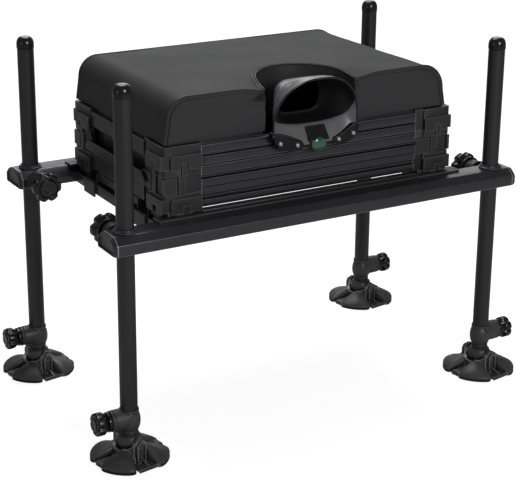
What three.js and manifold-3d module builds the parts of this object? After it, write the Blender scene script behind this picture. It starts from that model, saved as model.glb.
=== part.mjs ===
// Fishing seat box: a padded seat on two box units, clipped to a base between two cross bars,
// which stand on four clamped legs with hinged mud feet.
// Millimetres, +Z up, front towards -Y. The origin lies on the ground, midway between the legs.
import * as THREE from 'three';
import { mergeVertices } from 'three/addons/utils/BufferGeometryUtils.js';
import Module from 'manifold-3d';

const wasm = await Module();
wasm.setup();

// Sides of the round pieces
const roundSides = 14;
const boreSides = 8;
const stemSides = 10;
const barrelSides = 10;
const footSides = 10;
const ballSteps = 3;      // facets of the ball from its bottom to its equator

// Clearances
const fit = 0.3;          // between fixed pieces that touch
const runningFit = 0.6;   // round what slides or turns
const overrun = 5;        // how far a cutter passes the face it cuts
const weld = 1;           // how far joined solids reach into each other
const softEdge = 1;       // bevel of the moulded blocks

// Stance
const legSpanX = 744;
const legSpanY = 408;
const legRadius = 15;
const legWall = 2;
const legTopHeight = 628;

// Cross bars
const barOverhang = 28;
const barLength = legSpanX + 2 * barOverhang;
const barBottomHeight = 374.6;
const barHeight = 30.6;
const barTopHeight = barBottomHeight + barHeight;
const barFaceHeight = 19;
const barHalfDepth = 33;
const barInnerY = legSpanY / 2 - barHalfDepth;
const barTopHalfWidth = 19.5;
const barWall = 2.6;
const barGrooveWidth = 2.4;
const barGrooveDepth = 1.2;
const barGrooveSpacing = 20;
const barCapFlange = 3;
const barCapBulge = 4;
const barCapPlug = 12;
const barCapDish = 1.2;
const barCapRim = 3.4;

// Leg caps
const capOverhang = 0.8;
const capRadius = legRadius + capOverhang;
const capSkirt = 7;
const capRise = 21;
const capFlatRadius = 7;
const capSpigot = 16;

// Leg clamps
const clampSleeveWall = 3.6;
const clampSleeveRadius = legRadius + clampSleeveWall;
const clampFlangeWidth = 6;
const clampFlangeRadius = legRadius + clampFlangeWidth;
const clampNeckWall = 3.2;
const clampNeckRadius = legRadius + clampNeckWall;
const clampFlangeRise = 6;
const clampFlangeLip = 2.4;
const clampLowerRise = 5;
const clampBoreRise = 12.4;
const clampBoreHeight = barBottomHeight + clampBoreRise;
const clampStemRadius = 9;
const clampBarrelRadius = 16;
const clampBarrelGap = 0.4;
const clampBarrelStart = barHalfDepth + clampBarrelGap;
const clampBarrelLength = 24;
const clampBarrelEnd = clampBarrelStart + clampBarrelLength;
const clampRingRise = 2;
const clampRingRadius = clampBarrelRadius + clampRingRise;
const clampRingWidth = 4;

// Knobs: a collar against the barrel, a waist, and six lobes
const studRadius = 4;
const knobRadius = 20.4;
const knobLobeDepth = 2;
const knobLobes = 6;
const knobGap = 0.9;
const knobCollarRadius = 17.2;
const knobCollarWidth = 5;
const knobWaistRadius = 14;
const knobWaist = 1.2;
const knobTaper = 7;
const knobThickness = 14;
const knobBevel = 2.6;
const knobDiscRadius = 11.5;
const knobDiscRise = 1.6;

// Leg sockets above the feet
const ballRadius = 21.5;
const ballHeight = 32;
const legEndRise = 26;
const legEndHeight = ballHeight + legEndRise;
const socketDepth = 33;
const socketTopHeight = legEndHeight + socketDepth;
const socketTopWall = 1.9;
const socketTopRadius = legRadius + socketTopWall;
const socketLip = 5;
const socketBellyWall = 4.4;
const socketBellyRadius = legRadius + socketBellyWall;
const socketBellyRise = 12;
const socketBellyHalf = 8;
const socketShoulderShare = 0.955;
const socketNeckRadius = 15.4;
const socketBarrelRadius = 18.4;
const socketBarrelLength = 21;
const socketBarrelEnd = legRadius + socketBarrelLength;
const socketKnobRise = 16;
const socketKnobHeight = legEndHeight + socketKnobRise;
const socketRingRadius = 15.6;
const socketGrooveRadius = 13.6;
const socketNeckRise = 22.6;
const socketRingWidth = 2.8;
const socketRingRise = 19.5;
const pinRadius = 4;
const pinReach = 34.5;

// Mud feet
const footRadius = 67.8;
const footTurn = Math.PI / 18;
// One petal's outline in shares of the foot's radius, from the side slot to the front slot
const petalShares = [
  [0.42, 0.13], [0.66, 0.19], [0.89, 0.21], [0.955, 0.27], [0.86, 0.51],
  [0.707, 0.707], [0.51, 0.86], [0.39, 0.92], [0.305, 0.82], [0.19, 0.44],
];
const footEdge = 5.6;
const footEdgeSlope = 6;
const footEdgeRise = 1.8;
const footCrown = 12;
const footHubRadius = 27.5;
const footHubFlare = 34;
const footHubRise = 15;
const footRimHeight = 36;
const footSaddleRise = 28;
const footSaddleHeight = ballHeight + footSaddleRise;
const footSaddleRadius = 38;
const footSideWeb = { reach: 48, half: 13.6, height: 3 };
const footFrontWeb = { reach: 50, half: 20.6, height: 4 };
const earHalfWidth = 9;
const earReach = 36;
const earRise = 12;
const earHeight = ballHeight + earRise;
const earPeak = 8;
const earPeakHalf = 4.6;
const earRim = 2.4;
const earRecess = 3;
const earRecessTop = 5;

// Box units
const boxLegGapX = 81;
const boxHalfX = legSpanX / 2 - boxLegGapX;
const boxLegGapY = 23;
const boxHalfY = legSpanY / 2 - boxLegGapY;
const boxWall = 8;
const boxCornerRadius = 6;
const unitLift = 8.8;
const lowerUnitHeight = 74;
const upperUnitHeight = 34;
const cornerRise = 5;
const lowerBottomHeight = barTopHeight + unitLift;
const lowerTopHeight = lowerBottomHeight + lowerUnitHeight;
const upperTopHeight = lowerTopHeight + upperUnitHeight;
const unitGap = 0.4;

// Side rails
const railWidth = 30;
const railHeight = 19;
const railWall = 2.4;
const railOffset = 5;
const railOuterX = boxHalfX + railOffset;

// Base mouldings
const basePlate = 3.2;
const baseMargin = 17;
const baseOuterY = boxHalfY + baseMargin;
const baseSideWidth = 27;
const baseSideInset = 2;
const baseOuterX = boxHalfX - baseSideInset;
const baseInnerX = baseOuterX - baseSideWidth;
const baseTabWidth = 15;
const baseTabX = boxHalfX + baseTabWidth;
const baseTabLength = 26;
const baseSideRise = unitLift - 2 * fit;
const baseSideDrop = 5;
const baseCurveEnd = 23;
const baseCurveEndY = boxHalfY - baseCurveEnd;
const baseCurveLength = 40;
const baseCurveStartY = baseCurveEndY - baseCurveLength;
const baseStripRise = 5.6;
const baseStripRimDepth = 8;
const baseStripRimOffset = 5;
const baseStripRimY = boxHalfY + baseStripRimOffset;
const blockInset = 55;
const blockLength = 44;
const blockFarY = boxHalfY - blockInset;
const blockNearY = blockFarY - blockLength;
const blockCheek = 4;
const blockOuterX = railOuterX + blockCheek;
const blockDrop = 5;
const blockShoulder = 3.5;
const socketWall = 2.6;
const pocketOffset = 1;
const pocketOuterX = boxHalfX + pocketOffset;
const keyWidth = 10;
const keyThickness = 3.2;

// Corner mouldings: every place is read from left to right across a face, seen from outside
const facePlain = {
  width: 71, block: 25, pillarStart: 28, pillarEnd: 41, bracket: 13, slotStart: 31, slotEnd: 45,
};
const faceColumn = {
  width: 75, block: 31, pillarStart: 34, pillarEnd: 48, bracket: 18, slotStart: 42, slotEnd: 54,
};
const bracketHeight = 26;
const bracketRise = 4;
const bracketCorner = 3;
const bracketBelowUnit = 3;
const slotHeight = 12;
const flangeInset = 2;
const lowerFlangeHeight = 30;
const upperFlangeDrop = 13;
const blockMargin = 2;
const blockRise = 1.2;
const pillarRise = 1;
const tongueWidth = 10;
const tongueThickness = 3.2;

// Ribbed panels
const panelInset = 1.4;
const panelThickness = 6;
const panelMargin = 1;
const panelTopMargin = 1.8;
const ribBulge = 1.1;
const ribGroove = 3.6;
const ribGrooveDepth = 2.6;
const ribRidge = 1;
const upperRibShares = [0.5, 0.5];
const lowerRibShares = [0.25, 0.5, 0.25];

// Lower shell and drawer
const shellFloor = 3;
const shellFloorLift = 2.6;
const shellWallX = 6;
const guideHeight = 22;
const guideThickness = 3;
const drawerWall = 2.6;
const drawerBackGap = 77;
const drawerDepth = 2 * boxHalfX - drawerBackGap;
const drawerLift = 0.8;
const drawerHeadroom = 20;
const drawerHeight = lowerUnitHeight - drawerHeadroom;
const drawerRecess = 14;
const drawerSill = 2;
const handleHeight = 18;
const handleDrop = 36;
const handleBottomHeight = lowerTopHeight - handleDrop;
const handleReach = 8;
const handleLip = 3;
const handleChamfer = 12;
const handleInset = 60;
const handleHalfLength = boxHalfY - handleInset;

// Upper tray
const trayWall = 2.6;
const sidePanelDrop = 9;

// Seat board and its hinge
const boardThickness = 7.2;
const boardMargin = 1;
const boardBottomHeight = upperTopHeight + unitGap;
const boardTopHeight = boardBottomHeight + boardThickness;
const boardHalfX = boxHalfX - boxWall - boardMargin;
const boardHalfY = boxHalfY - boxWall - boardMargin;
const boardCornerRadius = 8;
const hingeOffset = 6.5;
const hingeY = boxHalfY + hingeOffset;
const hingeRise = 2.1;
const hingeHeight = boardBottomHeight + hingeRise;
const hingeInset = 141;
const hingeSpacing = 2 * (boxHalfX - hingeInset);
const knuckleRadius = 5;
const knuckleLength = 36;
const hingePinRadius = 2.4;
const hingeLug = 5;

// Cushion
const cushionInsetX = 8;
const cushionInsetY = 4;
const cushionHalfX = boxHalfX - cushionInsetX;
const cushionHalfY = boxHalfY - cushionInsetY;
const cushionCentreX = -4;
const cushionBottomHeight = boardTopHeight + unitGap;
const cushionThickness = 77.5;
const cushionTopHeight = cushionBottomHeight + cushionThickness;
const cushionCrown = 5;
const cushionRollRadius = 40;
const cushionLean = 6;
const cushionDrawIn = 3;
const cushionBulge = 3;
const cushionEdge = 3;
const cupHalfWidth = 85.5;
const notchCentreX = -7;
const notchMargin = 4.5;
const notchHalfWidth = cupHalfWidth + notchMargin;
const notchDepth = 108;
const notchBoardMargin = 2;

// Pole cup
const cupDepth = 50;
const cupProud = 7.5;
const cupRise = cushionTopHeight + cupProud - upperTopHeight;
// Arched sections from the closed back, deep in the cushion's notch, to the mouth: depth is a
// share of the cup's depth behind the unit's front face, width of its half width, and the
// heights are shares of its rise above the unit. The floor is where the inside ends below.
const cupSectionShares = [
  { depth: 1, width: 0.64, bottom: 0.194, top: 0.85, floor: 0.237 },
  { depth: 0.88, width: 0.71, bottom: 0.14, top: 0.895, floor: 0.183 },
  { depth: 0.4, width: 0.87, bottom: 0.108, top: 0.94, floor: 0.145 },
  { depth: 0.03, width: 0.953, bottom: 0.097, top: 0.978, floor: 0.118 },
  { depth: -0.03, width: 0.965, bottom: -0.172, top: 0.984, floor: 0.075 },
  { depth: -0.36, width: 1, bottom: -0.247, top: 1, floor: -0.204 },
];
const cupSideShare = 0.86;
const cupRoofShare = 0.78;
const cupFloorShare = 0.5;
const cupSpringShare = 0.38;
const cupLipLean = 8;     // how far the mouth's top stands before its sides
const cupWall = 3;
const cupCentreX = -6;
const cupFaceY = -(boxHalfY - panelInset + ribBulge / 2 + fit);
const lugInnerReach = 25;
const lugInset = 1.5;
const lugOuterReach = cupHalfWidth - lugInset;
const lugDrop = 28.5;
const lugBottomHeight = upperTopHeight - lugDrop;
const lugRise = 4;
const lugTopHeight = upperTopHeight + lugRise;
const lugSlope = 20;
const lugCorner = 10;
const lugRoundX = 26;
const lugRoundZ = 25;
const lugThickness = 11;
const levelSeat = 19;
const levelRadius = 9.4;
const levelX = -3;
const levelDrop = 21;
const levelHeight = upperTopHeight - levelDrop;
const levelThickness = 6;
const levelDome = 1.2;

// Materials
function finish(color, roughness, metalness) {
  return new THREE.MeshStandardMaterial({ color, roughness, metalness });
}
const anodised = finish(0x2b2b30, 0.42, 0.8);
const glossyPlastic = finish(0x121214, 0.22, 0);
const mattPlastic = finish(0x1d1d1f, 0.6, 0);
const ribbedMetal = finish(0x27272a, 0.45, 0.7);
const vinyl = finish(0x3a3a3c, 0.5, 0);
const satinPlastic = finish(0x2c2c2e, 0.35, 0);
const spiritGreen = finish(0x1f7a45, 0.15, 0);

// Solids
function solid(geometry) {
  const bare = new THREE.BufferGeometry();
  bare.setAttribute('position', geometry.getAttribute('position').clone());
  if (geometry.index) {
    bare.setIndex(geometry.index.clone());
  }
  const merged = mergeVertices(bare);
  return new wasm.Manifold(new wasm.Mesh({
    numProp: 3,
    vertProperties: merged.getAttribute('position').array,
    triVerts: new Uint32Array(merged.index.array),
  }));
}

function toGeometry(body) {
  const mesh = body.getMesh();
  const geometry = new THREE.BufferGeometry();
  geometry.setAttribute('position', new THREE.BufferAttribute(new Float32Array(mesh.vertProperties), 3));
  geometry.setIndex(new THREE.BufferAttribute(new Uint32Array(mesh.triVerts), 1));
  return geometry;
}

function join(...geometries) {
  return toGeometry(geometries.map(solid).reduce((whole, next) => whole.add(next)));
}

function cut(geometry, ...tools) {
  return toGeometry(tools.map(solid).reduce((whole, next) => whole.subtract(next), solid(geometry)));
}

// A closed surface with its faces turned outwards
function outward(geometry) {
  const position = geometry.getAttribute('position');
  const index = geometry.index.array;
  const [a, b, c] = [new THREE.Vector3(), new THREE.Vector3(), new THREE.Vector3()];
  let volume = 0;
  for (let i = 0; i < index.length; i += 3) {
    a.fromBufferAttribute(position, index[i]);
    b.fromBufferAttribute(position, index[i + 1]);
    c.fromBufferAttribute(position, index[i + 2]);
    volume += a.dot(b.cross(c));
  }
  if (volume < 0) {
    for (let i = 0; i < index.length; i += 3) {
      [index[i], index[i + 1]] = [index[i + 1], index[i]];
    }
  }
  return geometry;
}

// A revolve about Z from [radius, height] points
function revolve(points, segments = roundSides) {
  const profile = points.map(([radius, height]) => new THREE.Vector2(radius, height));
  const geometry = new THREE.LatheGeometry(profile, segments);
  geometry.rotateX(Math.PI / 2);
  geometry.deleteAttribute('normal');
  geometry.deleteAttribute('uv');
  const merged = mergeVertices(geometry);
  return outward(toGeometry(solid(outward(merged))));
}

function tube(outer, inner, bottom, top, segments) {
  return revolve([[inner, bottom], [outer, bottom], [outer, top], [inner, top], [inner, bottom]], segments);
}

function rod(radius, bottom, top, segments) {
  return revolve([[0, bottom], [radius, bottom], [radius, top], [0, top]], segments);
}

// How near the middle of a facet comes to the axis, as a share of the corners' radius
function flatShare(sides) {
  return Math.cos(Math.PI / sides);
}

// A shape drawn in two world axes and carried along the third
function carry(shape, depth, axes, origin, bevel = 0, curveSegments = 4) {
  const geometry = new THREE.ExtrudeGeometry(shape, {
    depth: depth - 2 * bevel,
    bevelEnabled: bevel > 0,
    bevelThickness: bevel,
    bevelSize: bevel,
    bevelOffset: -bevel,
    bevelSegments: 1,
    curveSegments,
  });
  geometry.translate(0, 0, bevel);
  geometry.applyMatrix4(new THREE.Matrix4().makeBasis(...axes));
  geometry.translate(...origin);
  return geometry;
}

const X = new THREE.Vector3(1, 0, 0);
const Y = new THREE.Vector3(0, 1, 0);
const Z = new THREE.Vector3(0, 0, 1);

function alongX(shape, from, to, bevel) {
  return carry(shape, to - from, [Y, Z, X], [from, 0, 0], bevel);
}

function alongY(shape, from, to, bevel) {
  return carry(shape, to - from, [X, Z, Y.clone().negate()], [0, to, 0], bevel);
}

function alongZ(shape, from, to, bevel, curveSegments) {
  return carry(shape, to - from, [X, Y, Z], [0, 0, from], bevel, curveSegments);
}

function rectangle(left, bottom, right, top, radius = 0) {
  const shape = new THREE.Shape();
  if (radius === 0) {
    shape.moveTo(left, bottom);
    shape.lineTo(right, bottom);
    shape.lineTo(right, top);
    shape.lineTo(left, top);
    return shape;
  }
  shape.moveTo(left + radius, bottom);
  shape.absarc(right - radius, bottom + radius, radius, -Math.PI / 2, 0);
  shape.absarc(right - radius, top - radius, radius, 0, Math.PI / 2);
  shape.absarc(left + radius, top - radius, radius, Math.PI / 2, Math.PI);
  shape.absarc(left + radius, bottom + radius, radius, Math.PI, Math.PI * 1.5);
  return shape;
}

function block(x0, x1, y0, y1, z0, z1, bevel) {
  return alongZ(rectangle(x0, y0, x1, y1), z0, z1, bevel);
}

function outline(points) {
  return new THREE.Shape(points.map(([x, y]) => new THREE.Vector2(x, y)));
}

// The object
const seatBox = new THREE.Group();

function piece(name, geometry, material, parent = seatBox) {
  const mesh = new THREE.Mesh(geometry, material);
  mesh.name = name;
  parent.add(mesh);
  return mesh;
}

// Corners in order, with the sides that they lie on
const corners = [
  { name: 'front_left', x: -1, y: -1, turn: 0 },
  { name: 'front_right', x: 1, y: -1, turn: 1 },
  { name: 'rear_right', x: 1, y: 1, turn: 2 },
  { name: 'rear_left', x: -1, y: 1, turn: 3 },
];

// Legs
function legTube() {
  return tube(legRadius, legRadius - legWall, legEndHeight, legTopHeight);
}

function legCap() {
  const spigotRadius = legRadius - legWall - fit;
  const foot = legTopHeight + fit;
  const points = [
    [0, foot - capSpigot], [spigotRadius, foot - capSpigot], [spigotRadius, foot], [capRadius, foot],
  ];
  const domeSteps = 3;
  for (let i = 0; i <= domeSteps; i += 1) {
    const angle = (i / domeSteps) * (Math.PI / 2);
    const radius = capFlatRadius + (capRadius - capFlatRadius) * Math.cos(angle);
    points.push([radius, foot + capSkirt + (capRise - capSkirt) * Math.sin(angle)]);
  }
  points.push([0, foot + capRise]);
  return revolve(points);
}

// A clamp stands in the bar round the leg, with its barrel pointing inwards along +Y
function legClamp() {
  const bore = legRadius + runningFit;
  const top = barTopHeight + fit;
  const bottom = barBottomHeight - fit;
  const collar = revolve([
    [bore, bottom - clampLowerRise], [clampNeckRadius, bottom - clampLowerRise],
    [clampFlangeRadius, bottom - clampFlangeLip], [clampFlangeRadius, bottom],
    [clampSleeveRadius, bottom], [clampSleeveRadius, top],
    [clampFlangeRadius, top], [clampFlangeRadius, top + clampFlangeLip],
    [clampNeckRadius, top + clampFlangeRise], [bore, top + clampFlangeRise],
    [bore, bottom - clampLowerRise],
  ]);
  const stem = rod(clampStemRadius, bore, clampBarrelStart + overrun, stemSides);
  const barrel = revolve([
    [0, clampBarrelStart], [clampRingRadius, clampBarrelStart],
    [clampRingRadius, clampBarrelStart + clampRingWidth],
    [clampBarrelRadius, clampBarrelStart + clampRingWidth + knobBevel],
    [clampBarrelRadius, clampBarrelEnd], [0, clampBarrelEnd],
  ], barrelSides);
  const boss = join(stem, barrel);
  boss.rotateX(-Math.PI / 2);
  boss.translate(0, 0, clampBoreHeight);
  const studBore = rod(studRadius + runningFit, 0, clampBarrelEnd + overrun, boreSides);
  studBore.rotateX(-Math.PI / 2);
  studBore.translate(0, 0, clampBoreHeight);
  const legBore = rod(bore, bottom - clampLowerRise - overrun, top + clampFlangeRise + overrun);
  return cut(join(collar, boss), studBore, legBore);
}

// A lobed knob beyond its seat, with a stud that reaches the leg; its axis is +Z
function knob(seat) {
  const shape = new THREE.Shape();
  const steps = knobLobes * 4;
  for (let i = 0; i < steps; i += 1) {
    const angle = (i / steps) * Math.PI * 2;
    const wave = Math.cos(angle * knobLobes);
    const radius = knobRadius - knobLobeDepth + knobLobeDepth * Math.sign(wave) * Math.sqrt(Math.abs(wave));
    const point = [radius * Math.cos(angle), radius * Math.sin(angle)];
    if (i === 0) {
      shape.moveTo(...point);
    } else {
      shape.lineTo(...point);
    }
  }
  const collar = seat + knobGap;
  const waist = collar + knobCollarWidth + knobWaist;
  const near = waist + knobTaper;
  const far = near + knobThickness;
  const valleyRadius = knobRadius - 2 * knobLobeDepth;
  const head = alongZ(shape, near, far, knobBevel);
  const middle = revolve([
    [0, legRadius + fit], [studRadius, legRadius + fit], [studRadius, collar],
    [knobCollarRadius, collar], [knobCollarRadius, collar + knobCollarWidth],
    [knobWaistRadius, waist], [valleyRadius, near + knobBevel], [0, near + knobBevel],
  ], boreSides);
  const disc = rod(knobDiscRadius, far - weld, far + knobDiscRise, boreSides);
  return join(head, middle, disc);
}

// The lower half of the ball, from its bottom on the axis to its equator
function ballProfile(radius) {
  const points = [];
  for (let i = 0; i <= ballSteps; i += 1) {
    const angle = ((i / ballSteps) * Math.PI) / 2;
    points.push([radius * Math.sin(angle), ballHeight - radius * Math.cos(angle)]);
  }
  return points;
}

// Leg socket with its neck rings, ball and hinge pin; its barrel points along +X
function footSocket() {
  const bore = legRadius + fit;
  const points = ballProfile(ballRadius);
  const belly = legEndHeight + socketBellyRise;
  const ringTop = ballHeight + socketRingRise;
  points.push(
    [ballRadius * Math.cos(Math.PI / 6), ballHeight + ballRadius * Math.sin(Math.PI / 6)],
    [socketRingRadius, ringTop - socketRingWidth],
    [socketRingRadius, ringTop],
    [socketGrooveRadius, ringTop + fit],
    [socketNeckRadius, ballHeight + socketNeckRise],
    [socketBellyRadius * socketShoulderShare, belly - socketBellyHalf],
    [socketBellyRadius, belly],
    [socketBellyRadius * socketShoulderShare, belly + socketBellyHalf],
    [socketTopRadius, socketTopHeight - socketLip],
    [socketTopRadius, socketTopHeight],
    [bore, socketTopHeight],
    [bore, legEndHeight - fit],
    [0, legEndHeight - fit],
  );
  const body = revolve(points);
  const barrel = revolve([
    [0, 0], [socketBarrelRadius, 0], [socketBarrelRadius, socketBarrelEnd - knobBevel],
    [socketBarrelRadius - knobBevel, socketBarrelEnd], [0, socketBarrelEnd],
  ], barrelSides);
  barrel.rotateY(Math.PI / 2);
  barrel.translate(0, 0, socketKnobHeight);
  const studBore = rod(studRadius + runningFit, 0, socketBarrelEnd + overrun, boreSides);
  studBore.rotateY(Math.PI / 2);
  studBore.translate(0, 0, socketKnobHeight);
  const legBore = rod(bore, legEndHeight - fit, socketTopHeight + overrun);
  const pin = rod(pinRadius, -pinReach, pinReach, boreSides);
  pin.rotateX(Math.PI / 2);
  pin.translate(0, 0, ballHeight);
  return { body: cut(join(body, barrel), studBore, legBore), pin };
}

// The four petals' outline, from one quarter of it
function petalOutline() {
  const quarter = petalShares.map(([x, y]) => [x * footRadius, y * footRadius]);
  const flipped = quarter.slice().reverse();
  return outline([
    ...quarter,
    ...flipped.map(([x, y]) => [-x, y]),
    ...quarter.map(([x, y]) => [-x, -y]),
    ...flipped.map(([x, y]) => [x, -y]),
  ]);
}

// A peaked ear on the hub's +Y side, with a shallow recess round the pin's end
function footEar() {
  const house = outline([
    [-earHalfWidth, 0], [earHalfWidth, 0], [earHalfWidth, earHeight - earPeak],
    [earPeakHalf, earHeight], [-earPeakHalf, earHeight], [-earHalfWidth, earHeight - earPeak],
  ]);
  const recess = block(
    earRim - earHalfWidth, earHalfWidth - earRim, earReach - earRecess, earReach + overrun,
    footCrown, earHeight - earRecessTop,
  );
  return cut(alongY(house, ballRadius, earReach), recess);
}

// A web between two petals, along X
function footWeb(web) {
  return block(-web.reach, web.reach, -web.half, web.half, 0, web.height);
}

// Mud foot: four domed petals, a low cup round the ball and two ears on the pin, which lies along Y
function mudFoot() {
  const plate = alongZ(petalOutline(), 0, footCrown + footEdge);
  const dome = revolve([
    [0, 0], [footRadius + overrun, 0], [footRadius + overrun, footEdge],
    [footRadius - footEdgeSlope, footEdge + footEdgeRise], [footHubFlare, footCrown], [0, footCrown],
  ]);
  const petalSolid = toGeometry(solid(plate).intersect(solid(dome)));
  const hub = revolve([
    [0, 0], [footHubFlare, 0], [footHubFlare, footCrown], [footHubRadius, footHubRise],
    [footHubRadius, footRimHeight], [0, footRimHeight],
  ]);
  const saddle = rod(footSaddleRadius, -footRadius, footRadius, footSides);
  saddle.rotateY(Math.PI / 2);
  saddle.translate(0, 0, footSaddleHeight);
  const room = (ballRadius + runningFit) / flatShare(roundSides) / flatShare(4 * ballSteps);
  const ballRoom = revolve(ballProfile(room).concat([
    [room, earHeight + overrun], [0, earHeight + overrun],
  ]));
  const pinBore = rod(pinRadius + 2 * fit, -footRadius, footRadius, boreSides);
  pinBore.rotateX(Math.PI / 2);
  pinBore.translate(0, 0, ballHeight);
  const sideWeb = footWeb(footSideWeb);
  const frontWeb = footWeb(footFrontWeb).rotateZ(Math.PI / 2);
  const ear = footEar();
  const otherEar = ear.clone().rotateZ(Math.PI);
  const body = join(petalSolid, cut(hub, saddle), sideWeb, frontWeb, ear, otherEar);
  return cut(body, ballRoom, pinBore);
}

function addLegs() {
  const clampGeometry = legClamp();
  const clampKnobGeometry = knob(clampBarrelEnd);
  const socket = footSocket();
  const footKnobGeometry = knob(socketBarrelEnd);
  const footGeometry = mudFoot();
  const tubeGeometry = legTube();
  const capGeometry = legCap();
  for (const corner of corners) {
    const leg = new THREE.Group();
    leg.position.set((corner.x * legSpanX) / 2, (corner.y * legSpanY) / 2, 0);
    seatBox.add(leg);
    piece(`leg_${corner.name}`, tubeGeometry, anodised, leg);
    piece(`leg_cap_${corner.name}`, capGeometry, glossyPlastic, leg);
    const clamp = piece(`leg_clamp_${corner.name}`, clampGeometry, mattPlastic, leg);
    clamp.rotation.z = corner.y < 0 ? 0 : Math.PI;
    const clampKnob = piece(`clamp_knob_${corner.name}`, clampKnobGeometry, glossyPlastic, leg);
    clampKnob.position.z = clampBoreHeight;
    clampKnob.rotation.x = corner.y < 0 ? -Math.PI / 2 : Math.PI / 2;
    // The barrel points outwards, and every foot is turned a little on its leg
    const pin = socket.pin.clone().rotateZ(footTurn);
    const body = socket.body.clone().rotateZ(corner.x > 0 ? 0 : Math.PI);
    piece(`foot_socket_${corner.name}`, join(body, pin), mattPlastic, leg);
    const footKnob = piece(`foot_knob_${corner.name}`, footKnobGeometry, glossyPlastic, leg);
    footKnob.position.z = socketKnobHeight;
    footKnob.rotation.y = (corner.x * Math.PI) / 2;
    const foot = piece(`mud_foot_${corner.name}`, footGeometry, mattPlastic, leg);
    foot.rotation.z = footTurn;
  }
}

// The bar's outline in depth and height above its bottom, drawn in by an offset
function barOutline(offset) {
  const chamferDepth = barHalfDepth - barTopHalfWidth;
  const chamferRise = barHeight - barFaceHeight;
  const slope = Math.hypot(chamferDepth, chamferRise);
  const faceTop = barFaceHeight - (offset * (slope - chamferRise)) / chamferDepth;
  const topHalf = barTopHalfWidth - (offset * (slope - chamferDepth)) / chamferRise;
  const half = barHalfDepth - offset;
  const top = barHeight - offset;
  return [
    [-half, offset], [half, offset], [half, faceTop], [topHalf, top], [-topHalf, top], [-half, faceTop],
  ];
}

function addBars() {
  const shape = outline(barOutline(0));
  shape.holes.push(outline(barOutline(barWall)));
  const tubeSolid = alongX(shape, -barLength / 2, barLength / 2);
  const tools = [];
  for (const side of [-1, 1]) {
    const collar = rod(clampSleeveRadius + fit, -overrun, barHeight + overrun);
    collar.translate((side * legSpanX) / 2, 0, 0);
    const stem = rod(clampStemRadius + fit, 0, barHalfDepth + overrun, stemSides);
    stem.rotateX(-Math.PI / 2);
    stem.translate((side * legSpanX) / 2, 0, clampBoreHeight - barBottomHeight);
    const groove = block(
      -barLength, barLength,
      (side * barGrooveSpacing) / 2 - barGrooveWidth / 2, (side * barGrooveSpacing) / 2 + barGrooveWidth / 2,
      barHeight - barGrooveDepth, barHeight + overrun,
    );
    tools.push(collar, stem, groove);
  }
  const bar = cut(tubeSolid, ...tools);
  const plug = alongX(outline(barOutline(barWall + fit)), -barCapPlug, overrun);
  const flange = alongX(outline(barOutline(0)), fit, fit + barCapFlange);
  const bulgeShape = outline(barOutline(barCapFlange / 2));
  const bulge = alongX(bulgeShape, barCapFlange, fit + barCapFlange + barCapBulge, barCapFlange / 2);
  const dish = alongX(outline(barOutline(barCapRim)), fit + barCapFlange + barCapBulge - barCapDish,
    fit + barCapFlange + barCapBulge + overrun);
  const collarRoom = rod(clampSleeveRadius + 2 * fit, -overrun, barHeight + overrun);
  collarRoom.translate(legSpanX / 2 - barLength / 2, 0, 0);
  const cap = cut(join(plug, flange, bulge), dish, collarRoom);
  for (const [name, side] of [['front', -1], ['rear', 1]]) {
    const group = new THREE.Group();
    group.position.set(0, (side * legSpanY) / 2, barBottomHeight);
    group.rotation.z = side < 0 ? 0 : Math.PI;
    seatBox.add(group);
    piece(`bar_${name}`, bar, anodised, group);
    for (const end of [-1, 1]) {
      const endName = end * -side < 0 ? 'left' : 'right';
      const holder = new THREE.Group();
      holder.position.x = (end * barLength) / 2;
      holder.rotation.z = end < 0 ? Math.PI : 0;
      group.add(holder);
      piece(`bar_cap_${name}_${endName}`, cap, mattPlastic, holder);
    }
  }
}

function addRails() {
  const inner = railOuterX - railWidth;
  const shape = rectangle(inner, barBottomHeight, railOuterX, barBottomHeight + railHeight);
  shape.holes.push(rectangle(
    inner + railWall, barBottomHeight + railWall,
    railOuterX - railWall, barBottomHeight + railHeight - railWall,
  ));
  const right = alongY(shape, -barInnerY + fit, barInnerY - fit);
  piece('rail_right', right, anodised);
  piece('rail_left', right.clone().rotateZ(Math.PI), anodised);
}

// Side elevation of a base side moulding: level over the rail, an S-curve down to a pad on each bar
function baseSideOutline() {
  const low = barTopHeight + fit;
  const padTop = low + basePlate;
  const sideTop = barTopHeight + baseSideRise;
  const sideBottom = barTopHeight - baseSideDrop;
  const middle = (baseCurveStartY + baseCurveEndY) / 2;
  const shape = new THREE.Shape();
  shape.moveTo(-baseOuterY, low);
  shape.lineTo(-barInnerY, low);
  shape.lineTo(-barInnerY + basePlate, sideBottom);
  shape.lineTo(barInnerY - basePlate, sideBottom);
  shape.lineTo(barInnerY, low);
  shape.lineTo(baseOuterY, low);
  shape.lineTo(baseOuterY, padTop);
  shape.lineTo(baseCurveEndY, padTop);
  shape.bezierCurveTo(middle, padTop, middle, sideTop, baseCurveStartY, sideTop);
  shape.lineTo(-baseCurveStartY, sideTop);
  shape.bezierCurveTo(-middle, sideTop, -middle, padTop, -baseCurveEndY, padTop);
  shape.lineTo(-baseOuterY, padTop);
  return shape;
}

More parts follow.
